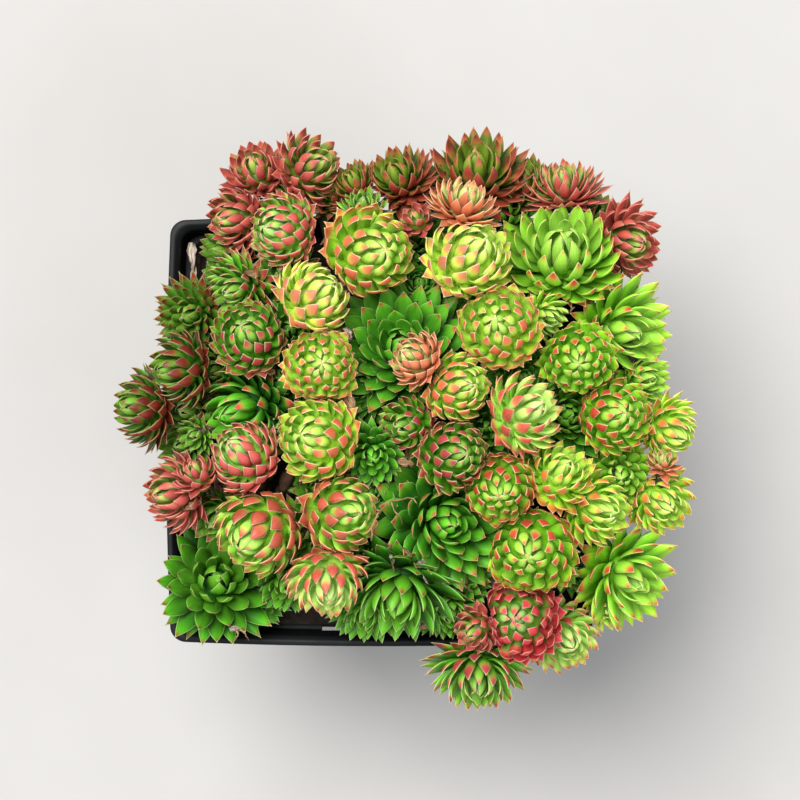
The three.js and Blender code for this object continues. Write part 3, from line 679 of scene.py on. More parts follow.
def shorten(head, leaves):
    """A leaf whose outer half would be squeezed is drawn in as a whole, by a little more than what
    its tip would move, so that it stays pointed; what is left of the squeeze then bends it."""
    away = leaves[:, -3:].mean(axis=2) - head["centre"]
    meant = np.linalg.norm(away, axis=-1)
    held = np.linalg.norm(squeeze(head, away + head["centre"]) - head["centre"], axis=-1)
    share = ((held / meant).min(axis=1) ** DRAWN_IN)[:, None, None, None]
    return squeeze(head, head["centre"] + (leaves - head["centre"]) * share)


print("walls:", sum(len(head["walls"]) for head in heads), "round", len(heads), "heads")

# %% [markdown]
# ## One leaf
#
# A leaf is a tube of six-sided sections carried along a midline that lies in a plane through the
# head's axis. The section is a lens, fuller on the outer side, wide in the upper half and drawn in
# to a sharp tip. All the leaves of a head are worked out in one array.

# %% Leaf shapes
# A small head's leaves are nearly as large as another's, and so fewer. A few heads have larger or
# smaller leaves than their form's.
USUAL_RADIUS, STEADY = 7.5, 0.7
COARSE = {"chick_01": 1.05, "chick_02": 1.05, "chick_03": 1.05, "chick_06": 1.08, "chick_08": 0.93,
          "chick_16": 1.1, "chick_17": 1.12, "chick_18": 1.05, "chick_35": 1.08, "chick_22": 0.95,
          "chick_27": 1.12, "hen_09": 1.12}
ROWS = np.array([0.10, 0.34, 0.55, 0.68, 0.79, 0.88, 0.955])    # where a leaf's rings stand
POINT = 1.045                     # where its sharp tip stands
TILT = math.radians(3.0)          # how far chance turns a leaf
SIZE_CHANCE = 0.05                # how much chance changes its length
AGE_POWER = 0.6                   # the lower, the earlier the leaves of a head get wide
SIDES = 6
TURN = np.arange(SIDES) * 2 * math.pi / SIDES
# A leaf's section: an edge, the inner side, the other edge, and three points on the outer side.
SECTION_X = np.array([1.0, 0.0, -1.0, -0.58, 0.0, 0.58])
SECTION_Y = np.array([0.0, -0.45, 0.0, 0.9, 1.25, 0.9])


def coarseness(head):
    """How large a head's leaves are next to its form's: a power, and more for smaller heads."""
    return max(1.0, (USUAL_RADIUS / head["radius"]) ** STEADY) * COARSE.get(head["name"], 1.0)


def midline(form, age, share):
    """The polar angle is the tip's plus a sweep that shrinks to nothing along the leaf, and the
    radius is a mix of a curve that rises early and a straight line. Gives the way out from the axis
    and the way up along it, in head radii."""
    def between(key, power=1.0):
        return form[key][0] + (form[key][1] - form[key][0]) * age ** power
    opening = np.clip((age - form["opens"]) / (1 - form["opens"]), 0, 1)
    sweep = between("sweep", 0.5) * (1 - 0.7 * opening)
    polar = np.radians(between("tips", form["crowd"]) + sweep * np.maximum(1 - share, 0) ** 1.1)
    early = 1 - np.maximum(1 - share, 0) ** form["hug"]
    stand = between("stand", 2) + (0.95 - between("stand", 2)) * opening
    radius = between("reach", 0.6) * (0.08 + 0.92 * ((1 - stand) * early + stand * share))
    return radius * np.sin(polar), radius * np.cos(polar)


def outline(form, share):
    """Half the width along a leaf, as a share of its greatest: it swells as a sine to its broadest
    place, then falls as one less a power, the blunter the higher."""
    rising = 0.5 + 0.5 * np.sin(np.minimum(share / form["broadest"], 1) * math.pi / 2)
    past = np.clip((share - form["broadest"]) / (1 - form["broadest"]), 0, 1)
    return rising * (1 - past ** form["blunt"])


def square_to(way, hint=(0.0, 1.0, 0.0)):
    """Two directions square to a way and to each other, the first square to the hint too."""
    side = np.cross(way, hint)
    side /= np.linalg.norm(side)
    return side, np.cross(way, side)


def turned(x, y, angle):
    """A point's place after a turn: x cos - y sin, and x sin + y cos."""
    return x * np.cos(angle) - y * np.sin(angle), x * np.sin(angle) + y * np.cos(angle)


def leaf_points(head, ages, turns, chance):
    """Every leaf's rings of six points: the section's width runs round the axis and its thickness
    along the midline's normal. chance holds random numbers for each leaf's turn, lean, length and
    roll. Gives the points and each ring's half width."""
    form, axis = head["form"], head["axis"]
    side, other = square_to(axis)
    age = ages[:, None]
    share = np.concatenate([ROWS, [POINT]])[None, :]
    out, up = midline(form, age, share)
    ahead, back = (np.stack(midline(form, age, share + step)) for step in (0.01, -0.01))
    run = ahead - back
    run /= np.linalg.norm(run, axis=0)
    normal_out, normal_up = run[1], -run[0]
    size = head["radius"] * (1 + SIZE_CHANCE * chance[:, 2:3])
    widest = form["width"][0] + (form["width"][1] - form["width"][0]) * age ** AGE_POWER
    half = size * coarseness(head) * widest * outline(form, share)
    fat = (size * form["thick"] * (0.55 + 0.45 * age) * (1.1 - 0.75 * share)
           * np.sqrt(outline(form, share)))
    width = half[..., None] * SECTION_X
    depth = fat[..., None] * SECTION_Y - form["cup"] * half[..., None] * SECTION_X ** 2
    width, depth = turned(width, depth, 2.0 * TILT * chance[:, 3, None, None])
    level = size[..., None] * out[..., None] + depth * normal_out[..., None]
    height = size[..., None] * up[..., None] + depth * normal_up[..., None]
    height, level = turned(height, level, (TILT * chance[:, 1])[:, None, None])
    turn = turns + TILT * chance[:, 0]
    outward = np.cos(turn)[:, None] * side + np.sin(turn)[:, None] * other
    around = -np.sin(turn)[:, None] * side + np.cos(turn)[:, None] * other
    points = (head["root"] + level[..., None] * outward[:, None, None, :]
              + height[..., None] * axis + width[..., None] * around[:, None, None, :])
    return points, half


print("a leaf has", len(ROWS), "rings of", SIDES, "points")

# %% [markdown]
# ## A head of leaves
#
# The leaves leave the stem in a golden-angle spiral, the youngest in the middle. Leaves that face
# the sky are the most flushed, and so are the older ones; the youngest stay pale green. The leaves
# too young to show are packed into one round heart.

# %% Whole heads
GOLDEN = math.radians(137.508)
# The flush grows with the upward part of a leaf's way and with its age, within limits.
SKY_GAIN, SKY_START, SKY_LIMITS = 0.65, 0.45, (0.1, 1.05)
AGE_GAIN, AGE_LIMITS = 3.5, (0.25, 1.0)
FLUSH_CHANCE = 0.2


def tube_kind(rings):
    """Faces of a closed tube, with each point's share along it and round it."""
    along_tube = np.concatenate([[0.0], np.repeat(np.arange(rings) + 1.0, SIDES), [rings + 1.0]])
    round_tube = np.concatenate([[0.5], np.tile(np.arange(SIDES) / SIDES, rings), [0.5]])
    return tube_faces(rings, SIDES), along_tube / (rings + 1), round_tube


LEAF_TUBE = tube_kind(len(ROWS))
LEAF_SIZE = len(ROWS) * SIDES + 2
share_of_point = np.concatenate([[0.0], np.repeat(ROWS, SIDES), [1.0]])
across_point = np.concatenate([[0.0], np.tile(SECTION_X, len(ROWS)), [0.0]])


def close_leaves(rings):
    """The middles of a leaf's first and last rings are its foot and its tip."""
    return capped(rings[:, 0].mean(axis=1), rings[:, :-1], rings[:, -1].mean(axis=1))


def head_leaves(head):
    """Ages run evenly from the youngest to the oldest leaf and turns by the golden angle. Gives the
    points of all leaves, a leaf a row, and the named values on them."""
    form = head["form"]
    count = round(form["leaves"] / coarseness(head) ** 2)
    chance = np.random.default_rng(head["seed"]).uniform(-1, 1, (count, 6))
    ages = (np.arange(count) + 0.35) / count
    turns = np.arange(count) * GOLDEN + head["seed"]
    rings, half = leaf_points(head, ages, turns, chance)
    rings = shorten(head, rings)
    facing = rings[:, -2].mean(axis=1) - head["root"]
    facing /= np.linalg.norm(facing, axis=-1, keepdims=True)
    sky = np.clip(facing[:, 2] * SKY_GAIN + SKY_START, *SKY_LIMITS)
    blush = (head["flushed"] * np.clip(ages * AGE_GAIN, *AGE_LIMITS) * sky
             * (1 + FLUSH_CHANCE * chance[:, 4]))
    rim = np.repeat(half[:, :-1], SIDES, 1) * (1 - np.abs(np.tile(across_point[1:-1], (count, 1))))
    looks = dict(along=share_of_point, across=across_point, rim=np.pad(rim, ((0, 0), (1, 1))),
                 age=ages[:, None], blush=blush[:, None], tone=(chance[:, 5:6] + 1) / 2)
    return close_leaves(rings), looks


def ring_points(side, other):
    """The directions of a tube's points round it: the cosine of their turn along one direction and
    its sine along another."""
    return np.cos(TURN)[:, None] * side + np.sin(TURN)[:, None] * other


def heart_points(head):
    """Rings round the axis, at one distance from the root, as the innermost tips have."""
    axis = head["axis"]
    polar = np.linspace(0, math.pi, HEART_RINGS + 2)[::-1]
    size = head["form"]["heart"] * head["radius"]
    out, up = (size * part(polar[1:-1])[:, None, None] for part in (np.sin, np.cos))
    rings = head["root"] + out * ring_points(*square_to(axis)) + up * axis
    start, end = head["root"] + size * np.cos(polar[[0, -1]])[:, None] * axis
    return squeeze(head, capped(start, rings, end))


HEART_RINGS = 5
HEART_TUBE = tube_kind(HEART_RINGS)
NO_LOOK = dict.fromkeys(LOOKS, 0.0)
# The heart takes the colour of a leaf's foot, painted shade included.
HEART_LOOK = {**NO_LOOK, "rim": 1.0, "age": 1.0}
sample, _ = head_leaves(heads[4])
print("leaf:", LEAF_SIZE, "points; the fifth head's leaves reach",
      round(float(np.linalg.norm(sample - heads[4]["centre"], axis=-1).max()), 1), "mm")

# %% [markdown]
# ## Stems
#
# Under every head is a short woody stem. It runs from the head's middle down into the mix, aimed
# at the middle of the pot, and thickens a little on the way. A small head's stem goes to the head
# that it grows on.

# %% Stem tubes
STEM_RINGS = 9
STEM_TUBE = tube_kind(STEM_RINGS)
SAG = 0.08                        # how far a stem hangs through, as a share of its length
STEM_WAVE, RUNNER_WAVE = 0.18, 0.15
ROOT_FOCUS = dict(deep=27.0, shallow=8.0, reach=60.0)
PLANTED = 6.0                     # how far a stem runs on in the mix


def stem_ends(head, carrier):
    """From the head's centre towards the pot's axis, at a depth that is less for heads further out;
    it ends a set length past the place where it meets the soil."""
    start = head["centre"]
    if carrier is not None:
        return start, carrier["centre"]
    out = min(1.0, math.hypot(*start[:2]) / ROOT_FOCUS["reach"])
    depth = ROOT_FOCUS["deep"] + (ROOT_FOCUS["shallow"] - ROOT_FOCUS["deep"]) * out ** 2
    sideways = np.array([-start[1], start[0], 0.0]) / max(math.hypot(*start[:2]), 1e-6)
    aim = np.array([0.0, 0.0, RIM - depth]) + sideways * head["sway"] - start
    length = np.linalg.norm(aim)
    aim /= length
    way = np.linspace(0, length, 400)
    spots = start + way[:, None] * aim
    under = np.argmax(spots[:, 2] < soil_height(spots[:, 0], spots[:, 1]))
    return start, start + (way[under] + PLANTED) * aim


def stem_points(start, end, radius, seed):
    """Rings round a line that hangs through as a parabola and waves as a sine, and whose girth
    grows evenly and ripples."""
    share = np.linspace(0, 1, STEM_RINGS)
    length = np.linalg.norm(end - start)
    side, other = square_to((end - start) / length, (0.31, 0.95, 0.1))
    wave = STEM_WAVE * np.sin(share * 9 + seed)
    middle = start + share[:, None] * (end - start) + wave[:, None] * side
    middle[:, 2] -= SAG * length * 4 * share * (1 - share)
    girth = radius * (0.82 + 0.22 * share + 0.05 * np.sin(share * 23 + seed))
    rings = middle[:, None] + girth[:, None, None] * ring_points(side, other)
    return capped(start, rings, end)


print("stem:", STEM_RINGS * SIDES + 2, "points")

# %% [markdown]
# ## Rosettes
#
# A rosette is a head, the smaller heads on it and their stems, in one mesh that stands for one node
# of the solid model. Each leaf gets its own field on the baking map: a square grid of fields, with
# the leaf's length across its field and its girth up it.

# %% Building the rosettes
MARGIN, INSIDE = 0.04, 0.92       # of each field, as shares of it


def map_cells(tube, count, first, fields):
    """Corner places on the baking map for count copies of a tube, which fill fields from the first
    on. Where a face's last column closes the tube, its far corners get a full turn and not none."""
    faces, along_tube, round_tube = tube
    corner = np.where(faces < 0, 0, faces)
    length, girth = along_tube[corner], round_tube[corner]
    girth = np.where((girth.max(axis=1, keepdims=True) > 0.8) & (girth < 0.3), girth + 1, girth)
    field = first + np.arange(count)[:, None, None]
    place = np.stack([field % fields + MARGIN + INSIDE * length,
                      field // fields + MARGIN + INSIDE * girth], -1)
    return (place / fields).reshape(-1, 4, 2)


def join_parts(name, parts, materials):
    """Joins tubes into one mesh. Each part is its points, a copy a row, its kind of tube, its
    material's number and its looks."""
    fields = math.ceil(math.sqrt(sum(len(copies) for copies, *_ in parts)))
    faces, numbers, cells, offset, first = [], [], [], 0, 0
    values = {title: [] for title in LOOKS}
    for copies, tube, material_number, looks in parts:
        count, size = copies.shape[:2]
        shift = offset + np.arange(count)[:, None, None] * size
        faces.append(np.where(tube[0] < 0, -1, tube[0] + shift).reshape(-1, 4))
        numbers.append(np.full(len(faces[-1]), material_number))
        cells.append(map_cells(tube, count, first, fields))
        for title in LOOKS:
            values[title].append(np.broadcast_to(looks[title], (count, size)).ravel())
        offset, first = offset + count * size, first + count
    piece = make_piece(name, np.concatenate([copies.reshape(-1, 3) for copies, *_ in parts]),
                       np.concatenate(faces), materials, np.concatenate(numbers),
                       {title: np.concatenate(values[title]) for title in LOOKS},
                       np.concatenate(cells))
    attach(piece, "root")
    return piece


def build_rosette(name, own):
    """The leaves, hearts and stems of the heads of one node."""
    tints = sorted({head["tint"] for head in own})
    parts = []
    for head in own:
        leaves, looks = head_leaves(head)
        stem = stem_points(*stem_ends(head, own[0] if head is not own[0] else None),
                           head["form"]["stem"], head["seed"])
        tint_number = tints.index(head["tint"])
        parts += [(leaves, LEAF_TUBE, tint_number, looks),
                  (heart_points(head)[None], HEART_TUBE, tint_number, HEART_LOOK),
                  (stem[None], STEM_TUBE, len(tints), NO_LOOK)]
    materials = [leaf_materials[tint] for tint in tints] + [plain["stem"]]
    piece = join_parts("rosette_" + name, parts, materials)
    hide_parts(name)
    return piece


names = list(dict.fromkeys(head["name"] for head in heads))
rosettes = [build_rosette(name, [head for head in heads if head["name"] == name])
            for name in names]
print("rosettes:", len(rosettes), "faces:", sum(len(piece.data.polygons) for piece in rosettes))

# %% [markdown]
# ## The pot
#
# A nursery pot is a thin black tub with round corners, drawn in towards its foot. Near the top the
# wall steps out over a ledge with a row of slots on each side, and the rim is rolled to a bead. One
# profile is carried round a square with round corners and slightly bowed sides. The slots and drain
# holes are cut out afterwards with one joined cutter, because they cross the grid.

# %% Pot
SIDE_STEPS, CORNER_STEPS = 24, 8
CORNER_SHARE, BOW_SHARE = POT["corner"] / POT["rim"], POT["bow"] / POT["rim"]
SOFTNESS = 0.35                   # radius of the profile's bends
SLOT_CUT, DRAIN_CUT = 2.4, 6.0    # heights of the cutting boxes
MAP_EDGE, MAP_SPAN = 0.02, 0.96   # of the baking map


def square_rings(half):
    """For each half width, a ring of four equal runs: a side that bows out by its share times one
    less the square of the way along, then a quarter circle to the next side. Gives x and y."""
    half = np.asarray(half, float)[:, None]
    corner, bow = half * CORNER_SHARE, half * BOW_SHARE
    along = np.linspace(-1, 1, SIDE_STEPS + 1)
    bend = np.linspace(0, math.pi / 2, CORNER_STEPS + 1)[1:-1]
    straight = half - corner
    out = np.concatenate([half + bow * (1 - along ** 2), straight + corner * np.cos(bend)], axis=1)
    across = np.concatenate([straight * along, straight + corner * np.sin(bend)], axis=1)
    return (np.concatenate([out, -across, -out, across], axis=1),
            np.concatenate([across, out, -across, -out], axis=1))


def soften(profile, radius):
    """Each inner corner of a profile becomes five points: two on each side, at one and nearly two
    radii or a share of the edge, and one between the corner and its neighbours' middle."""
    profile = np.array(profile, float)
    here = profile[1:-1]
    before, after = profile[:-2] - here, profile[2:] - here
    reach = [np.linalg.norm(way, axis=1, keepdims=True) for way in (before, after)]
    before, after = before / reach[0], after / reach[1]
    near = [np.minimum(radius, 0.24 * span) for span in reach]
    first, last = here + before * near[0], here + after * near[1]
    bunch = np.stack([here + before * near[0] * 1.9, first, (first + 2 * here + last) / 4, last,
                      here + after * near[1] * 1.9], axis=1)
    return np.concatenate([profile[:1], bunch.reshape(-1, 2), profile[-1:]])


def turn_square(profile):
    """The rings of a profile of half widths and heights that starts and ends on the axis."""
    x, y = square_rings(profile[1:-1, 0])
    z = np.broadcast_to(profile[1:-1, 1:], x.shape)
    start, end = (np.array([0, 0, height]) for height in profile[[0, -1], 1])
    return capped(start, np.stack([x, y, z], -1), end), x.shape


def turning_cells(faces, shape):
    """Places on the baking map for a turning: round it along the map, and its profile up it."""
    rings, around = shape
    point = np.where(faces < 0, 0, faces) - 1
    up = np.clip(point // around, -1, rings) + 1
    way = np.where((point < 0) | (point >= rings * around), 0, point % around) / around
    wraps = (way.max(axis=1, keepdims=True) > 0.9) & (way < 0.1)
    return np.stack([MAP_EDGE + MAP_SPAN * (way + wraps),
                     MAP_EDGE + MAP_SPAN * up / (rings + 1)], -1)


def make_turning(name, points, shape, finish):
    """A turning as a piece."""
    faces = tube_faces(*shape)
    return make_piece(name, points, faces, [finish], cells=turning_cells(faces, shape))


ledge_top = POT["ledge"] + POT["ledge_thick"]
inner_band = BAND - POT["wall"]
shoulder = wall_half(POT["ledge"])
pot_profile = soften([
    (0, 0), (POT["foot"] - POT["foot_edge"], 0), (POT["foot"], POT["foot_edge"]),
    (shoulder, POT["ledge"]), (BAND - POT["draft"], POT["ledge"]), (BAND, RIM - 1.5 * POT["bead"]),
    (POT["rim"], RIM - 0.9 * POT["bead"]), (POT["rim"] - 0.1, RIM - 0.15), (BAND + 0.1, RIM),
    (inner_band + 0.1, RIM - 0.9), (inner_band - POT["draft"], ledge_top),
    (shoulder - POT["wall"], ledge_top), (POT["foot"] - POT["wall"], POT["floor"]),
    (0, POT["floor"])], SOFTNESS)
pot = make_turning("nursery_pot", *turn_square(pot_profile), plain["black_plastic"])

UNIT_BOX = np.array([[x, y, z] for x in (-0.5, 0.5) for y in (-0.5, 0.5) for z in (-0.5, 0.5)])
BOX_FACES = np.array([[0, 1, 3, 2], [4, 6, 7, 5], [0, 4, 5, 1],
                      [2, 3, 7, 6], [0, 2, 6, 4], [1, 5, 7, 3]])
slot_out = (shoulder - POT["wall"] + inner_band) / 2 + POT["bow"]
slot_along = (np.arange(SLOT["a_side"]) - (SLOT["a_side"] - 1) / 2) * SLOT["pitch"]
slot_middle = (POT["ledge"] + ledge_top) / 2 + 0.3
slot_size = (SLOT["width"], SLOT["length"], SLOT_CUT)
drain_size = (DRAIN["width"], DRAIN["length"], DRAIN_CUT)
openings = [(side, (slot_out, along, slot_middle), slot_size)
            for side in range(4) for along in slot_along]
openings += [(side + 0.5, (DRAIN["out"], 0, 0), drain_size) for side in range(4)]
boxes = []
for side, middle, size in openings:
    box = UNIT_BOX * size + middle
    boxes.append(np.stack([*turned(box[:, 0], box[:, 1], side * math.pi / 2), box[:, 2]], -1))
cutter_faces = (BOX_FACES + 8 * np.arange(len(boxes))[:, None, None]).reshape(-1, 4)
cutter = make_piece("cutter", np.concatenate(boxes), cutter_faces, [plain["black_plastic"]],
                    smooth=False)
cut = pot.modifiers.new("slots", "BOOLEAN")
cut.operation, cut.solver, cut.object = "DIFFERENCE", "EXACT", cutter
bpy.context.view_layer.update()
whole = pot.data
pot.data = bpy.data.meshes.new_from_object(pot.evaluated_get(bpy.context.evaluated_depsgraph_get()))
pot.modifiers.clear()
bpy.data.meshes.remove(whole)
bpy.data.objects.remove(cutter)
pot.data.set_sharp_from_angle(angle=math.radians(50))
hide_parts("pot")
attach(pot, "root")
print("pot:", len(pot.data.polygons), "faces,", len(boxes), "openings")

# %% [markdown]
# ## The potting mix
#
# The mix is moist bark and peat, heaped to a low dome. Its top is the same turning with many rings,
# moved up and down by crossed waves of several lengths.

# %% Mix
MIX_RINGS = 44
WAVES, WAVE_HEIGHT, LONGEST_WAVE, FINER_WAVE = 14, 0.42, 0.8, 1.22
waves = np.random.default_rng(7).uniform(-1, 1, (WAVES, 4))


def crumbs(x, y):
    """Sum of sines that run in random directions, the shorter the wave the lower, each bent by the
    next."""
    pace = LONGEST_WAVE * FINER_WAVE ** np.arange(WAVES)
    run = x[..., None] * waves[:, 0] + y[..., None] * waves[:, 1]
    phase = run * pace * 1.4 + waves[:, 2] * math.pi
    bent = np.sin(phase + 1.3 * np.sin(phase[..., ::-1] * 0.7))
    return (bent * WAVE_HEIGHT / pace ** 0.6).sum(-1) * WAVE_HEIGHT


mix_floor = POT["floor"] + GAP
mix_foot = POT["foot"] - POT["wall"] - GAP
wall_top = soil_height(SOIL_HALF, 0) - SOIL["edge"]
side_half = wall_half(wall_top) - POT["wall"] - GAP
mix_profile = np.array([(0, mix_floor), (mix_foot, mix_floor + GAP), (side_half, wall_top)]
                       + [(ring * side_half, wall_top + SOIL["edge"])
                          for ring in np.linspace(0.97, 0, MIX_RINGS)])
mix_points, mix_shape = turn_square(mix_profile)
on_top = mix_points[:, 2] > wall_top + SOIL["edge"] / 2
x, y = mix_points[on_top, 0], mix_points[on_top, 1]
mix_points[on_top, 2] = soil_height(x, y) + crumbs(x, y)
mix = make_turning("potting_mix", mix_points, mix_shape, plain["potting_mix"])
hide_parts("soil")
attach(mix, "root")
print("mix:", len(mix.data.polygons), "faces")

# %% [markdown]
# ## Loose chips
#
# Chips of bark and white grains of perlite lie on the mix, half sunk, and a few larger chips are
# wedged between the stems.

# %% Loose chips
CHIPS, GRAINS = 420, 70
CHIP_RINGS = 3
CHIP_TUBE = tube_kind(CHIP_RINGS)
WEDGED = np.array([[-19.6, -10.2, 104.0], [-18.0, -11.4, 102.6], [-20.4, -11.6, 101.5],
                   [-18.6, -9.0, 101.0]])
WEDGED_SIZE = np.array([[3.0, 1.5], [2.4, 1.2], [2.6, 1.3], [2.8, 1.2]])


def chip_points(places, size, flat, chance):
    """Each chip is a short tube whose rings swell and shrink by chance, turned in the level and
    tipped a little. size holds half its length and its girth, flat how thin it is."""
    share = np.linspace(-1, 1, CHIP_RINGS + 2)
    girth = np.sqrt(1 - (0.9 * share) ** 2) * (1 + 0.3 * chance[:, 2:2 + len(share)])
    bumps = 1 + 0.25 * chance[:, None, 7:7 + SIDES]
    girth = girth[:, 1:-1, None] * bumps * size[:, 1, None, None]
    along = np.broadcast_to((share[1:-1] * size[:, :1])[..., None], girth.shape)
    rings = np.stack([along, girth * np.cos(TURN), flat * girth * np.sin(TURN)], -1)
    end = size[:, :1] * [1, 0, 0]
    local = capped(-end, rings, end)
    level, height = turned(local[..., 0], local[..., 2], chance[:, 1:2] * 0.5)
    x, y = turned(level, local[..., 1], chance[:, :1] * math.pi)
    return places[:, None] + np.stack([x, y, height], -1)


def strewn(count, seed, longest, thickest, flat):
    """Chips at random places on the mix, with random sizes."""
    chance = np.random.default_rng(seed).uniform(-1, 1, (count, 16))
    spots = chance[:, 14:16] * (SOIL_HALF - 2.5)
    places = np.stack([*spots.T, soil_height(*spots.T) + crumbs(*spots.T) + 0.2 * thickest], -1)
    size = np.array([longest, thickest]) * (0.65 + 0.35 * chance[:, 12:14])
    return chip_points(places, size, flat, chance)


wedged = chip_points(WEDGED, WEDGED_SIZE, 0.6,
                     np.random.default_rng(23).uniform(-1, 1, (len(WEDGED), 16)))
chips = join_parts("bark_chips", [(strewn(CHIPS, 21, 2.6, 1.1, 0.6), CHIP_TUBE, 0, NO_LOOK),
                                  (wedged, CHIP_TUBE, 0, NO_LOOK),
                                  (strewn(GRAINS, 22, 0.7, 0.6, 0.9), CHIP_TUBE, 1, NO_LOOK)],
                   [plain["bark_chip"], plain["perlite"]])
print("chips:", len(chips.data.polygons), "faces")

# %% [markdown]
# ## Dry scraps
#
# Old leaves shrivel and hang on under the heads as papery curls. A scrap is a leaf tube whose
# midline bends in an arc and whose edges ripple, set at a depth below the mound's dome.

# %% Curls
# x, y, depth below the dome, heading, pitch, roll, length, half width and curl, in millimetres and
# degrees.
CURLS = read_rows("""
-12.5 46 3 190 25 20 5.4 1 60
-11.2 40.8 4 250 20 60 4.8 .9 80
6.9 39.8 3 200 20 40 4.8 1 70
-9.3 20.6 2 330 15 10 5 1.2 40
-7.4 8.4 2.5 300 10 0 5.6 1.3 45
-21 12.2 2.5 170 15 20 5 .9 40
-24.5 32.5 2 175 15 30 5.2 .9 50
38.9 24.8 .5 60 30 60 4.6 .6 150
-36.3 -13.8 -2 210 0 20 5.4 .9 50
7.8 -41 6 20 10 20 4.4 .8 60
17.8 -31.4 4 100 20 40 3.8 .6 110
.6 -22.6 3 340 20 80 5.8 .8 130
4 -23.4 3 330 10 40 5.4 .9 90
2.2 -26 3 290 5 70 5 .8 120
3 -5.6 3.5 350 15 20 6 1 60
-16.5 1.5 3 200 15 10 4.5 .9 50
-12.6 -10.4 3 130 20 20 4.5 .9 60
""")
HUSKS = read_rows("""
1.6 -24.6 3 310 10 60 5.6 .9 130
7 -27.4 3 20 10 30 5.6 1.2 100
8.4 -28.6 3 300 -10 80 4.8 .9 120
15.6 43.4 1.5 280 10 50 4.4 .8 120
17.6 42.6 1.5 300 0 20 4 .7 100
-7.6 21.6 2.5 300 25 -20 4.8 1.1 40
-5.8 6.6 3 270 20 -20 5 1.2 35
-32 -41.2 .2 8 8 20 4 1 40
-40.6 41 9 275 -10 20 7.5 1.3 50
-39.6 36 11 262 -20 60 6.5 1.1 60
""")


def curl_points(rows, seed):
    """The midline is an arc that bends by the curl; the section ripples and turns along it."""
    x, y, sunk, heading, pitch, roll, length, half, curl = np.array(rows, float).T
    chance = np.random.default_rng(seed).uniform(-1, 1, (len(rows), 3))
    heading, pitch, roll, curl = (np.radians(angle) for angle in (heading, pitch, roll, curl))
    ahead = np.stack([np.cos(heading) * np.cos(pitch), np.sin(heading) * np.cos(pitch),
                      np.sin(pitch)], -1)
    flat = np.stack([-np.sin(heading), np.cos(heading), 0 * heading], -1)
    above = np.cross(ahead, flat)
    share = np.concatenate([ROWS, [POINT]])
    bend = curl[:, None] * share
    middle = (length / curl)[:, None, None] * (np.sin(bend)[..., None] * ahead[:, None]
                                               + (1 - np.cos(bend))[..., None] * above[:, None])
    up = np.cos(bend)[..., None] * above[:, None] - np.sin(bend)[..., None] * ahead[:, None]
    twist = roll[:, None] + (0.9 * chance[:, :1]) * share
    side = np.cos(twist)[..., None] * flat[:, None] + np.sin(twist)[..., None] * up
    face = np.cos(twist)[..., None] * up - np.sin(twist)[..., None] * flat[:, None]
    ruffle = 1 + 0.25 * np.sin(13 * share + 5 * chance[:, 2:3])
    width = half[:, None] * outline(LEAF_FORMS["star"], share) * ruffle
    ripple = 0.3 * np.sin(12 * share + 3 * chance[:, 1:2])[..., None]
    depth = (0.06 * SECTION_Y + ripple * SECTION_X * np.sin(3 * SECTION_X)
             + 0.2 * SECTION_X ** 2) * np.minimum(width, 1.0)[..., None]
    rings = (middle[:, :, None] - (width[..., None] * SECTION_X)[..., None] * side[:, :, None]
             + depth[..., None] * face[:, :, None])
    rings += np.stack([x, y, mound_height(x, y) - sunk], -1)[:, None, None]
    return close_leaves(rings)


def dry_look(count):
    """Places along and across each dead leaf, and a tone that differs from leaf to leaf."""
    tone = np.arange(count)[:, None] / count
    return {**NO_LOOK, "along": share_of_point, "across": across_point, "tone": tone}


scraps = join_parts("dry_leaves", [(curl_points(CURLS, 31), LEAF_TUBE, 0, dry_look(len(CURLS))),
                                   (curl_points(HUSKS, 32), LEAF_TUBE, 1, dry_look(len(HUSKS)))],
                    [dead_finish, husk_finish])
print("scraps:", len(CURLS) + len(HUSKS))

# %% [markdown]
# ## Dry runners
#
# A few dry runners are left over. Each is a thin tube through a few points. A point without a
# height is let down onto the highest leaf under it.

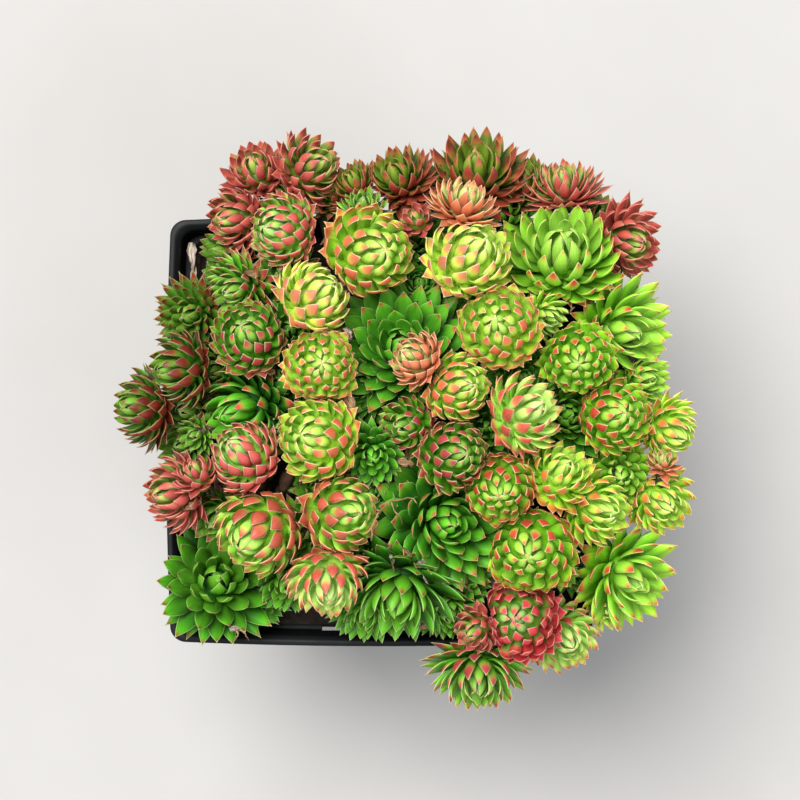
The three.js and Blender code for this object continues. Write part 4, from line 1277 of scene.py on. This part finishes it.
# %% Runners
RUNNERS = [
    [(-1.8, -21.8), (-1.6, -18.6), (-0.3, -15.9), (1.9, -14.2), (4.1, -13.6), (6.6, -13.3),
     (7.6, -14.6)],
    [(1.9, -14.2), (3.4, -16.4), (4.7, -19.0)],
    [(-0.3, -15.9), (-1.6, -14.6), (-2.0, -13.0)],
    [(16.6, -30.2), (17.6, -32.0), (19.2, -33.4)],
    [(-29.4, -41.0, 98.4), (-28.2, -42.2, 98.2), (-27.8, -43.6, 96.6)],
    [(-30.2, -41.2, 98.4), (-29.8, -42.6, 98.0), (-30.6, -43.6, 96.8)],
]
RUNNER_RINGS, RUNNER_RADIUS = 14, 0.17
RUNNER_TUBE = tube_kind(RUNNER_RINGS)
leaf_cloud = np.concatenate([np.array([vertex.co for vertex in piece.data.vertices])
                             for piece in rosettes]) / MM


def leaf_top(x, y, reach=0.9):
    """Height of the highest leaf point within reach of a place, or of the mix if there is none."""
    near = leaf_cloud[np.hypot(leaf_cloud[:, 0] - x, leaf_cloud[:, 1] - y) < reach]
    return max(near[:, 2].max() if len(near) else 0.0, float(soil_height(x, y)) + 0.5)


def runner_points(path, seed):
    """Rings round a line through the path's points, spaced evenly, that waves as a sine and whose
    girth thins out and ripples. Between two points it runs straight and so spans small gaps."""
    path = np.array([spot if len(spot) > 2 else (*spot, leaf_top(*spot)) for spot in path])
    steps = np.linspace(0, len(path) - 1, RUNNER_RINGS)
    x, y, z = (np.interp(steps, np.arange(len(path)), path[:, k]) for k in range(3))
    middle = np.stack([x + RUNNER_WAVE * np.sin(steps * 5 + seed),
                       y + RUNNER_WAVE * np.cos(steps * 4), z], -1)
    ahead = np.gradient(middle, axis=0)
    ahead /= np.linalg.norm(ahead, axis=1, keepdims=True)
    side = np.cross(ahead, [0.0, 0.0, 1.0])
    side /= np.linalg.norm(side, axis=1, keepdims=True)
    under = np.cross(ahead, side)
    girth = (RUNNER_RADIUS * (1 + 0.3 * np.sin(steps * 7 + seed))
             * np.linspace(1.1, 0.6, RUNNER_RINGS))
    rings = middle[:, None] + girth[:, None, None] * ring_points(side[:, None], under[:, None])
    return capped(middle[0], rings, middle[-1])


paths = np.stack([runner_points(path, k) for k, path in enumerate(RUNNERS)])
runners = join_parts("dry_runners", [(paths, RUNNER_TUBE, 0, NO_LOOK)], [plain["dry_runner"]])
print("runners:", len(RUNNERS))

# %% [markdown]
# ## What is shown
#
# The pieces that are shown are counted, with their faces.

# %% Counts, and the end
shown = [*rosettes, pot, mix, chips, scraps, runners]
print("pieces:", len(shown), "faces:", sum(len(piece.data.polygons) for piece in shown))
